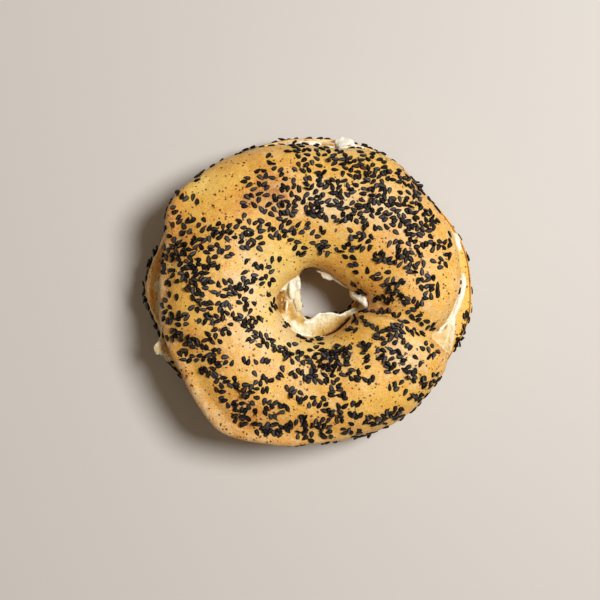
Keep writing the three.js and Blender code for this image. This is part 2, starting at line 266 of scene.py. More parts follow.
class Shader:
    """A material's node tree, with short ways to add and wire nodes. Widths and heights are millimetres."""

    def __init__(self, name):
        self.material = bpy.data.materials.new(name)
        self.material.use_nodes = True
        self.nodes = self.material.node_tree.nodes
        self.links = self.material.node_tree.links
        self.surface = next(n for n in self.nodes if n.type == "BSDF_PRINCIPLED")

    def add(self, kind, inputs=None, **settings):
        node = self.nodes.new(kind)
        for key, value in settings.items():
            setattr(node, key, value)
        for key, value in (inputs or {}).items():
            self.wire(value, node.inputs[key])
        return node

    def wire(self, value, socket):
        if isinstance(value, bpy.types.NodeSocket):
            self.links.new(value, socket)
        else:
            socket.default_value = value

    def place(self):
        return self.add("ShaderNodeTexCoord").outputs["Object"]

    def along_ring(self, share):
        """Places squeezed along the ring to a share of their length, for noise in streaks round it."""
        apart = self.add("ShaderNodeSeparateXYZ", {"Vector": self.place()})
        x, y, z = (apart.outputs[key] for key in "XYZ")
        radius = self.math("SQRT", self.math("ADD", self.math("MULTIPLY", x, x), self.math("MULTIPLY", y, y)))
        length = self.math("MULTIPLY", self.math("ARCTAN2", y, x), RIM_RADIUS * MM * share)
        return self.add("ShaderNodeCombineXYZ", {"X": radius, "Y": length, "Z": z}).outputs["Vector"]

    def attribute(self, name):
        return self.add("ShaderNodeAttribute", attribute_name=name).outputs["Fac"]

    def noise(self, width, detail=3.0, roughness=0.5, place=None):
        """Noise from 0 to 1 with lumps of that width."""
        inputs = {"Vector": place or self.place(), "Scale": 1 / (width * MM), "Detail": detail,
                  "Roughness": roughness}
        return self.add("ShaderNodeTexNoise", inputs).outputs["Fac"]

    def uneven(self, value, amount, *lumps, clamp=False):
        """The value with that amount of noise added, half of it below and half above."""
        return self.math("MULTIPLY_ADD", self.math("SUBTRACT", self.noise(*lumps), 0.5), amount, value, clamp)

    def cells(self, width, output="Distance", place=None):
        inputs = {"Vector": place or self.place(), "Scale": 1 / (width * MM)}
        return self.add("ShaderNodeTexVoronoi", inputs).outputs[output]

    def bent(self, width):
        """Places shifted by noise, so that round cells come out as uneven streaks and crumbs."""
        inputs = {"Vector": self.place(), "Scale": 1 / (0.9 * width * MM), "Detail": 2.0}
        shift = self.add("ShaderNodeTexNoise", inputs).outputs["Color"]
        inputs = {0: shift, 1: (0.7 * width * MM,) * 3, 2: self.place()}
        return self.add("ShaderNodeVectorMath", inputs, operation="MULTIPLY_ADD").outputs["Vector"]

    def math(self, operation, a, b=0.0, c=0.0, clamp=False):
        node = self.add("ShaderNodeMath", operation=operation, use_clamp=clamp)
        for value, socket in zip((a, b, c), node.inputs):
            self.wire(value, socket)
        return node.outputs[0]

    def remap(self, value, low, high, to_low=0.0, to_high=1.0):
        inputs = {"Value": value, "From Min": low, "From Max": high, "To Min": to_low, "To Max": to_high}
        return self.add("ShaderNodeMapRange", inputs, interpolation_type="SMOOTHSTEP").outputs["Result"]

    def ramp(self, value, stops):
        node = self.add("ShaderNodeValToRGB", {"Fac": value})
        elements = node.color_ramp.elements
        while len(elements) < len(stops):
            elements.new(1.0)
        for element, (position, color) in zip(elements, stops):
            element.position = position
            element.color = (*color, 1)
        return node.outputs["Color"]

    def mix(self, factor, a, b):
        node = self.add("ShaderNodeMix", data_type="RGBA")
        self.wire(factor, node.inputs["Factor"])
        for value, key in ((a, "A"), (b, "B")):
            socket = next(s for s in node.inputs if s.name == key and s.type == "RGBA")
            self.wire((*value, 1) if isinstance(value, tuple) else value, socket)
        return next(s for s in node.outputs if s.type == "RGBA")

    def surface_of(self, color, roughness, *bumps, specular=0.5, soft=None):
        """The finished material. Each bump is what is high and how high it is, and lies on the one before it.
        soft is how much light goes through the surface, and how far for red, green and blue."""
        inputs = self.surface.inputs
        self.wire(color, inputs["Base Color"])
        self.wire(roughness, inputs["Roughness"])
        normal = None
        for high, height in bumps:
            node = self.add("ShaderNodeBump", {"Height": high, "Distance": height * MM, "Strength": 1.0})
            if normal:
                self.wire(normal, node.inputs["Normal"])
            normal = node.outputs["Normal"]
        if normal:
            self.wire(normal, inputs["Normal"])
        inputs["Specular IOR Level"].default_value = specular
        if soft:
            inputs["Subsurface Weight"].default_value = soft[0]
            inputs["Subsurface Radius"].default_value = tuple(reach * MM for reach in soft[1])
            inputs["Subsurface Scale"].default_value = 1.0
        return self.material


def linear(*screen):
    """The red, green and blue of a colour on a screen, from 0 to 255, as linear light."""
    return tuple(((c / 255 + 0.055) / 1.055) ** 2.4 if c > 10 else c / 255 / 12.92 for c in screen)


# Crust, from its palest to its brownest, with paler places, partly chalky crust and partly painted light,
# light and dark grain, and specks
CRUST_COLORS = [
    (0.0, linear(248, 212, 116)), (0.25, linear(242, 186, 78)), (0.5, linear(220, 150, 54)),
    (0.75, linear(168, 100, 38)), (1.0, linear(108, 58, 24)),
]
CHALK_AND_PAINTED_LIGHT = linear(243, 218, 170)
LIGHT_GRAIN = linear(252, 230, 178)
DARK_GRAIN = linear(166, 98, 34)
SPECK = linear(80, 38, 14)

# How unevenly brown and chalky the crust is, as the width and the amount of noise
BAKE_NOISE = [(8, 0.38), (2.4, 0.36), (0.8, 0.34)]
PALE_NOISE = [(6, 1.1), (2.6, 1.0), (0.7, 0.5)]

# The specks: how far apart they can lie, what share of the places stays empty, and their radius as a share of
# that distance. They are thicker in some regions, by that amount of noise of that width.
SPECKS = [(2.2, 0.42, 0.27), (1.3, 0.48, 0.34)]
SPECK_DRIFT = (0.9, 14)

# The cut face, from untoasted to burnt, with its pores, painted darker as shade in their hollows, and the
# radius of the ring where it lies
CUT_COLORS = [
    (0.0, linear(252, 228, 172)), (0.35, linear(248, 200, 122)), (0.6, linear(236, 166, 76)),
    (0.8, linear(190, 112, 38)), (1.0, linear(110, 58, 18)),
]
CUT_PORE = linear(110, 64, 26)
CUT_STREAKS = 2.0
RIM_RADIUS = 60

# Black sesame, by chance from black through grey to a few brown ones, with its face's bloom and its dark
# edge, which is painted shade on the seed's steep sides
SEED_COLORS = [
    (0.0, (0.003, 0.002, 0.002)), (0.35, (0.014, 0.012, 0.011)), (0.65, (0.05, 0.045, 0.047)),
    (0.96, (0.13, 0.12, 0.125)), (0.97, (0.07, 0.032, 0.02)), (1.0, (0.11, 0.046, 0.024)),
]
SEED_BLOOM = (0.1, 0.096, 0.105)
SEED_EDGE = (0.004, 0.0016, 0.0004)

# The cream cheese, and the crumb that it lies on, from fresh to burnt, with its pores, painted darker as
# shade in their hollows
WHITE_CREAM = linear(250, 245, 230)
CRUMB_COLORS = [
    (0.0, linear(238, 233, 210)), (0.25, linear(232, 221, 180)), (0.5, linear(208, 170, 92)),
    (0.75, linear(150, 100, 30)), (1.0, linear(84, 44, 10)),
]
CRUMB_PORE = linear(196, 150, 78)


def crust_color(s):
    """Gold, browner where its browning attribute is high and paler where its pale one is, with dark specks.
    Both attributes carry painted light and shade as well as the crust's own browning and chalky places.
    """
    bake_and_shading, pale = s.attribute("bake_and_shading"), s.attribute("pale")
    for width, amount in BAKE_NOISE:
        bake_and_shading = s.uneven(bake_and_shading, amount, width, 4, 0.6)
    for width, amount in PALE_NOISE:
        pale = s.uneven(pale, amount, width, 4, 0.6)
    color = s.mix(s.remap(pale, 0.1, 1.0), s.ramp(bake_and_shading, CRUST_COLORS), CHALK_AND_PAINTED_LIGHT)
    grain = s.noise(0.5, 3, 0.6)
    color = s.mix(s.remap(grain, 0.52, 0.7, 0.0, 0.55), color, LIGHT_GRAIN)
    color = s.mix(s.remap(grain, 0.46, 0.3, 0.0, 0.55), color, DARK_GRAIN)
    for apart, empty, radius in SPECKS:
        cells = s.bent(apart)
        chance = s.add("ShaderNodeSeparateColor", {"Color": s.cells(apart, "Color", cells)}).outputs[0]
        chance = s.uneven(chance, *SPECK_DRIFT, 2)
        reach = s.remap(chance, empty, empty + 0.45, 0.0, radius)
        inside = s.math("SUBTRACT", reach, s.cells(apart, place=cells))
        color = s.mix(s.remap(inside, -0.03, 0.07, 0.0, 0.92), color, SPECK)
    return color


def crust_material(name):
    s = Shader(name)
    roughness = s.remap(s.noise(3, 3), 0.3, 0.7, 0.4, 0.58)
    return s.surface_of(crust_color(s), roughness, (s.noise(2.6, 4, 0.6), 0.3), (s.noise(0.6, 3, 0.6), 0.14),
                        specular=0.4, soft=(0.06, (2, 1.2, 0.6)))


def crumb_material(name):
    """The cut face: toasted brown crumb with its pores painted darker as shade, or plain crust where the
    crusted attribute says so.
    """
    s = Shader(name)
    toast_and_shading = s.uneven(s.attribute("toast_and_shading"), CUT_STREAKS, 1.3, 4, 0.65, s.along_ring(0.2), clamp=True)
    crusted = s.attribute("crusted")
    solid = s.remap(s.cells(1.4), 0.0, 0.45)
    pores = s.math("MULTIPLY", s.remap(solid, 0.0, 0.5, 0.3, 0.0), s.math("SUBTRACT", 1.0, crusted))
    color = s.mix(crusted, s.mix(pores, s.ramp(toast_and_shading, CUT_COLORS), CUT_PORE), crust_color(s))
    return s.surface_of(color, 0.7, (s.math("MAXIMUM", solid, crusted), 0.5), (s.noise(0.6, 3, 0.6), 0.12),
                        soft=(0.1, (2.5, 1.6, 0.9)))


def seed_material(name):
    """Black sesame: a greyer flat face inside a darker edge, which is painted shade on the seed's steep
    sides.
    """
    s = Shader(name)
    bloom = s.remap(s.noise(0.6, 3), 0.4, 0.7, 0.0, 0.5)
    face = s.mix(bloom, s.ramp(s.attribute("tone"), SEED_COLORS), SEED_BLOOM)
    color = s.mix(s.attribute("edge"), face, SEED_EDGE)
    return s.surface_of(color, 0.4, (s.noise(0.4, 2), 0.08), specular=0.08)


def cream_material(name):
    """Cream cheese where the white attribute is high, and bare crumb where it is low, browned in places, with
    painted shade in the pockets under the upper half's edge and in its pores.
    """
    s = Shader(name)
    crumb = s.ramp(s.uneven(s.attribute("toast_and_shading"), 0.5, 1.8, 4, 0.6, clamp=True), CRUMB_COLORS)
    white = s.uneven(s.attribute("white"), 0.5, 1.2, 3, 0.6, clamp=True)
    color = s.mix(s.remap(white, 0.3, 0.75), crumb, WHITE_CREAM)
    solid = s.remap(s.cells(1.1), 0.0, 0.45)
    pores = s.math("MULTIPLY", s.remap(solid, 0.5, 0.0, 0.0, 0.22), s.remap(white, 0.6, 0.3))
    spread = s.math("MAXIMUM", solid, s.remap(white, 0.2, 0.7))
    return s.surface_of(s.mix(pores, color, CRUMB_PORE), s.remap(white, 0.2, 0.8, 0.7, 0.4),
                        (spread, 0.2), (s.noise(0.9, 4, 0.6), 0.22), soft=(0.14, (1.8, 1.5, 1.1)))


upper_crust_finish = crust_material("upper_crust")
lower_crust_finish = crust_material("lower_crust")
crumb_finish = crumb_material("cut_crumb")
seed_finish = seed_material("black_sesame")
cream_finish = cream_material("cream_cheese")


# The upper half

# How many points it has over the dome, down each edge and across the cut
OVER = 150
ROLL = 7
UPPER_FLAT = 8

# How full the dome is, where 1 is a half sine and less is fuller, and how far in from the rim the cut's edge
# lies, as a share of the ring's width
DOME = 0.86
TUCK = 0.02

# The crease where the ends of the rope of dough overlap, its depth, and its width on its steep and soft side
CREASE = [(17, -8), (23.5, -9), (30.4, -9.8), (35, -12.1), (41.6, -16.3), (52, -18)]
CREASE_DEPTH = 3.6
CREASE_STEEP = 0.7
CREASE_SOFT = 6.5

# The soft lumps and dents of the crust: the place, the radius that each spreads over, and its height
LUMPS = [
    (-30, 38, 16, 1.4), (-48, 20, 7, -1.1), (28, 38, 15, 0.9), (38, -34, 15, 1), (-4, -44, 17, -0.8),
    (-36, -26, 14, 0.8), (44, 6, 12, -1),
]

# The bumps of the crust: the height, width and number of each noise
UPPER_BUMPS = [(0.34, 10, 1), (0.1, 3.2, 2)]

# The left shoulder is fuller: the angles that it lies between, how far across the ring it is, and how far it
# rises and is pushed out. The share FLATTENED of its rise is taken away where FLATTER says, as two angles and
# their fade. Above 1 the shoulder sinks a little there.
FULL_SHOULDER = (150, 262)
SHOULDER_AT = 0.957
SHOULDER_RISE = 3.6
SHOULDER_PUSH = 1.6
FLATTER = (168, 196, 14)
FLATTENED = 1.15

# How brown and how pale the crust usually is, and how much more so in patches, or less where negative: the
# pixel of the middle of each patch, its radii across and down, and the amount. Some patches are the crust's
# own browning and paler places; others are painted light and shade, lighter where the crust turns from the
# lamp, as on the hole's walls and at the lower left, and browner where it lies in shade.
USUAL_BAKE = 0.3
USUAL_PALE = 0.25
BAKED_AND_SHADED_PATCHES = [
    (278, 196, 16, 18, 0.24), (264, 178, 12, 12, 0.24), (250, 200, 20, 14, 0.3), (178, 224, 14, 16, 0.14),
    (182, 250, 14, 22, 0.14), (408, 180, 14, 12, 0.12), (352, 262, 26, 10, 0.08), (374, 292, 16, 14, 0.21),
    (190, 340, 14, 14, 0.16), (218, 356, 18, 16, 0.12), (248, 418, 30, 14, 0.26), (384, 308, 20, 4, 0.2),
    (320, 424, 40, 12, 0.12), (212, 184, 34, 18, -0.18), (430, 290, 20, 40, -0.02), (400, 396, 34, 14, -0.08),
    (272, 290, 20, 46, -0.34), (306, 344, 40, 9, -0.3), (384, 158, 26, 9, -0.14), (330, 150, 44, 8, -0.16),
    (410, 330, 26, 14, -0.12), (306, 252, 34, 12, -0.2), (230, 398, 20, 16, 0.16), (280, 196, 8, 30, 0.1),
    (398, 244, 30, 24, 0.08), (402, 352, 20, 20, 0.12), (412, 270, 24, 30, 0.04), (192, 180, 16, 14, -0.1),
    (300, 266, 12, 8, -0.2), (298, 362, 14, 10, -0.1), (326, 361, 12, 10, 0.12), (420, 194, 12, 10, 0.14),
    (184, 300, 9, 12, -0.06), (186, 384, 14, 22, 0.08), (216, 420, 14, 12, -0.12),
]
PALE_PATCHES = [
    (250, 284, 20, 34, 0.4), (300, 244, 30, 8, -0.3), (208, 188, 44, 34, -0.5), (320, 202, 30, 18, 0.5),
    (384, 206, 40, 26, 0.35), (412, 240, 24, 22, 0.1), (402, 356, 20, 22, 0.3), (246, 334, 30, 16, 0.25),
    (300, 372, 36, 16, 0.2), (352, 268, 40, 20, -0.35), (356, 344, 22, 9, -0.16), (178, 320, 12, 60, -0.05),
    (400, 396, 30, 16, -0.3), (446, 300, 20, 40, 0.05), (236, 236, 24, 10, 0.1), (334, 150, 40, 6, 0.2),
    (384, 162, 26, 9, -0.3), (282, 332, 20, 16, 0.35), (312, 338, 22, 8, 0.14), (412, 370, 18, 20, 0.2),
    (334, 355, 16, 8, 0.24), (184, 300, 9, 12, -0.4), (216, 420, 14, 12, 0.2),
]

# Painted shade as a darker line down in the crease, in pixels, and how much paler and how much browner the
# full shoulder's edge is painted: a painted bright edge, and painted shade where it turns from the lamp
CREASE_SHADE = [([(366, 311.4), (388, 312.6), (398, 317.6), (410, 325), (420, 331)], 1.1, 0.35)]
SHOULDER_PAINTED_HIGHLIGHT = 0.16
SHOULDER_PAINTED_SHADE = 0.2


def upper_section():
    """The section from the hole over the dome to the rim and back along the cut: how far across the ring each
    point lies, its height, and how much of the dome's relief it takes."""
    share = np.linspace(0, 1, OVER + 1)
    bulge = np.sin(np.pi * share) ** DOME
    turn = np.linspace(0, math.pi / 2, ROLL + 1)[1:]
    tuck = TUCK * (1 - np.cos(turn))
    drop = (UPPER_BELT - UPPER_CUT) * np.sin(turn)
    across = np.concatenate([0.5 - 0.5 * np.cos(np.pi * share), 1 - tuck,
                             np.linspace(1 - TUCK, TUCK, UPPER_FLAT + 2)[1:-1], tuck[::-1]])
    height = np.concatenate([UPPER_BELT + (CREST - UPPER_BELT) * bulge, UPPER_BELT - drop,
                             np.full(UPPER_FLAT, UPPER_CUT), UPPER_BELT - drop[::-1]])
    return across, height, np.concatenate([bulge, np.zeros(2 * ROLL + UPPER_FLAT)])


def relief(x, y):
    """How far the lumps and the crease raise the dome at each place."""
    rise = np.zeros(x.shape)
    for at_x, at_y, radius, height in LUMPS:
        rise += height * np.exp(-((x - at_x) ** 2 + (y - at_y) ** 2) / radius**2)
    distance, side = path_distance(x, y, CREASE)
    width = np.where(side > 0, CREASE_SOFT, CREASE_STEEP)
    return rise - CREASE_DEPTH * np.exp(-((distance / width) ** 2))


def near_shoulder(across, inner, outer=math.inf):
    """1 on the shoulder, fading over the inner distance towards the hole and over the outer one beyond it."""
    inward = np.maximum(SHOULDER_AT - across, 0) / inner
    outward = np.maximum(across - SHOULDER_AT, 0) / outer
    return np.exp(-(inward**2) - outward**2)


def upper_half():
    across, height, lift = upper_section()
    places = ring_places(UPPER_RIM, UPPER_HOLE, UPPER_HOLE_MIDDLE, across, around=576)
    x, y = places[..., 0], places[..., 1]
    full = near_angle(places, *FULL_SHOULDER, fade=25)
    flatter = 1 - FLATTENED * near_angle(places, *FLATTER)
    rise = SHOULDER_RISE * flatter * full * near_shoulder(across, inner=0.06) * lift**0.3
    push = SHOULDER_PUSH * full * near_shoulder(across, inner=0.04, outer=0.024) * np.clip(lift / 0.2, 0, 1)
    points = np.stack([x, y, height + lift * relief(x, y) + rise], -1)
    ray = places[:, OVER] - places[:, 0]
    ray /= np.linalg.norm(ray, axis=1, keepdims=True)
    points[..., :2] += push[..., None] * ray[:, None]
    index = np.arange(len(across))
    on_cut = (index >= OVER + ROLL) & (index <= OVER + ROLL + UPPER_FLAT + 1)
    points += swelling(points, bumpy(points, UPPER_BUMPS) * ~on_cut)
    px, py = seen_at(points)
    edge = near_angle(places, *FULL_SHOULDER, fade=10) * near_shoulder(across, inner=0.05, outer=0.02)
    # Colour: patches, painted shade in the crease, and a painted bright edge and shade on the shoulder
    bake_and_shading = patched(px, py, BAKED_AND_SHADED_PATCHES, USUAL_BAKE) + painted(px, py, CREASE_SHADE, sharp=2)
    bake_and_shading += SHOULDER_PAINTED_SHADE * edge
    pale = patched(px, py, PALE_PATCHES, USUAL_PALE) + SHOULDER_PAINTED_HIGHLIGHT * edge
    return ring_object("upper_crust", points, [upper_crust_finish, crumb_finish],
                       {"bake_and_shading": bake_and_shading, "pale": pale, "toast_and_shading": np.full(bake_and_shading.shape, 0.3)},
                       on_cut & np.roll(on_cut, -1))


# The lower half

# How many points it has up each wall, across the cut and across the base
UP = 40
LOWER_FLAT = 64
UNDER = 6

# How far the base's edge lies in from the belt, as a share of the ring's width
BASE_EDGE = 0.2

# The bumps of the crust, and the pores and dips of the cut: the height, width and number of each noise
LOWER_BUMPS = [(0.3, 9, 3), (0.08, 3, 4)]
PORES = (0.3, 1.4, 5)
DIPS = (0.5, 4, 6)

# Where the top edge is crusted over instead of cut: the angles that each stretch lies between, and how far
# beyond them it fades. The crust reaches that far in from the rim, and its edge is rounded off.
CRUSTED = (-42, 40, 12)
CRUSTED_LEFT = (202, 216, 3)
CRUST_REACH = 7
ROUND_OFF = 1.6
ROUND_WIDTH = 3.4

# Where the toasted lip of the cut stands up beside the upper half, how far in it reaches, and how high
LIP = (158, 206, 14)
LIP_REACH = 5
LIP_RISE = 2.6

# How toasted the cut is, and how much less so at its rim. The cut is coloured lighter than its toasting would
# be, as painted light standing in for the lamp's light that the upper half keeps off it
CUT_TOAST_WITH_PAINTED_LIGHT = 0.42
RIM_LESS_TOASTED = 0.3


def lower_section():
    """The section from the base up the hole's wall, over the cut and down the outer wall: how far across the
    ring each point lies, and its height."""
    turn = math.acos(1 - LOWER_CUT / LOWER_BELT) * np.linspace(0, 1, UP + 1)
    out = 1 - BASE_EDGE * (1 - np.sin(turn))
    up = LOWER_BELT * (1 - np.cos(turn))
    spread = 0.5 - 0.5 * np.cos(np.linspace(0, math.pi, LOWER_FLAT + 2)[1:-1])
    across = np.concatenate([1 - out, 1 - out[-1] + (2 * out[-1] - 1) * spread, out[::-1],
                             np.linspace(1 - BASE_EDGE, BASE_EDGE, UNDER + 2)[1:-1]])
    return across, np.concatenate([up, np.full(LOWER_FLAT, LOWER_CUT), up[::-1], np.zeros(UNDER)])


def within(rim_gap, reach, fade):
    """1 where the rim is nearer than the reach, falling to 0 over the fade further in."""
    return np.clip(1 + (rim_gap + reach) / fade, 0, 1)


def cut_sink(points, rim_gap, crusted):
    """How far the cut sinks with its pores, dips and rounded edge, less what its lip rises."""
    (pore_depth, *pores), (dip_depth, *dips) = PORES, DIPS
    rough = pore_depth * (1 + noise_at(points, *pores))
    rough = rough + dip_depth * (1 + noise_at(points * (1, 1, 0), *dips))
    rounded = ROUND_OFF * within(rim_gap, 0, ROUND_WIDTH) ** 2
    lip = LIP_RISE * near_angle(points, *LIP) * within(rim_gap, LIP_REACH, fade=3)
    lip = lip * np.clip(0.4 - rim_gap, 0, 1)
    return rough * (1 - crusted) * np.clip(-rim_gap / 1.2, 0, 1) + rounded * crusted - lip


def lower_half():
    across, height = lower_section()
    points = at_height(ring_places(LOWER_RIM, LOWER_HOLE, LOWER_HOLE_MIDDLE, across, around=540), height)
    index = np.arange(len(across))
    on_cut = (index > UP) & (index <= UP + LOWER_FLAT)
    steep = height < LOWER_CUT - 0.5
    points += swelling(points, bumpy(points, LOWER_BUMPS) * ((height > 1) & ~on_cut & steep))
    rim_gap = outside(points[..., 0], points[..., 1], LOWER_RIM, across[UP + LOWER_FLAT + 1])
    right, left = near_angle(points, *CRUSTED), near_angle(points, *CRUSTED_LEFT)
    crusted = np.maximum(right, left) * within(rim_gap, CRUST_REACH, fade=3)
    points[..., 2] -= on_cut * cut_sink(points, rim_gap, crusted)

    # The crusted stretches are less brown, and the left one paler. The right one's wall is painted much paler
    # and less brown, as painted light where it turns from the lamp
    bake_and_shading = USUAL_BAKE - right * (0.08 + 0.2 * steep) - 0.25 * left
    pale = USUAL_PALE - right * (0.1 - 0.6 * steep) + 0.3 * left
    # The cut's colour is kept light, as painted light where the upper half shades it
    toast_and_shading = CUT_TOAST_WITH_PAINTED_LIGHT - RIM_LESS_TOASTED * within(rim_gap, reach=0, fade=1.1)
    return ring_object("lower_crust", points, [lower_crust_finish, crumb_finish],
                       {"bake_and_shading": bake_and_shading, "pale": pale, "toast_and_shading": toast_and_shading, "crusted": crusted},
                       (index >= UP) & (index <= UP + LOWER_FLAT))


# The sesame. A seed is its place, its outward direction and the way that it points.

# A seed's length, width and thickness, how much these vary, how far it tilts and how many thicknesses up its
# middle lies, and how much more for each level of a pile
SEED_SIZE = (2.95, 1.76, 0.85)
SEED_VARIES = (0.08, 0.08, 0.1)
TILT = 0.1
PILED_TILT = 0.24
LIFT = 0.24
PILED_LIFT = 0.62

# A seed's spine, as places along it from its middle. Spines closer than PILED_WITHIN lie on each other. Seeds
# more than HIGHEST_PILE levels up carry none, and beyond WANTED_ROOM there is no need for more room.
SPINE = np.array([-0.7, 0, 0.7])
PILED_WITHIN = 1.3
HIGHEST_PILE = 2
WANTED_ROOM = 2.1

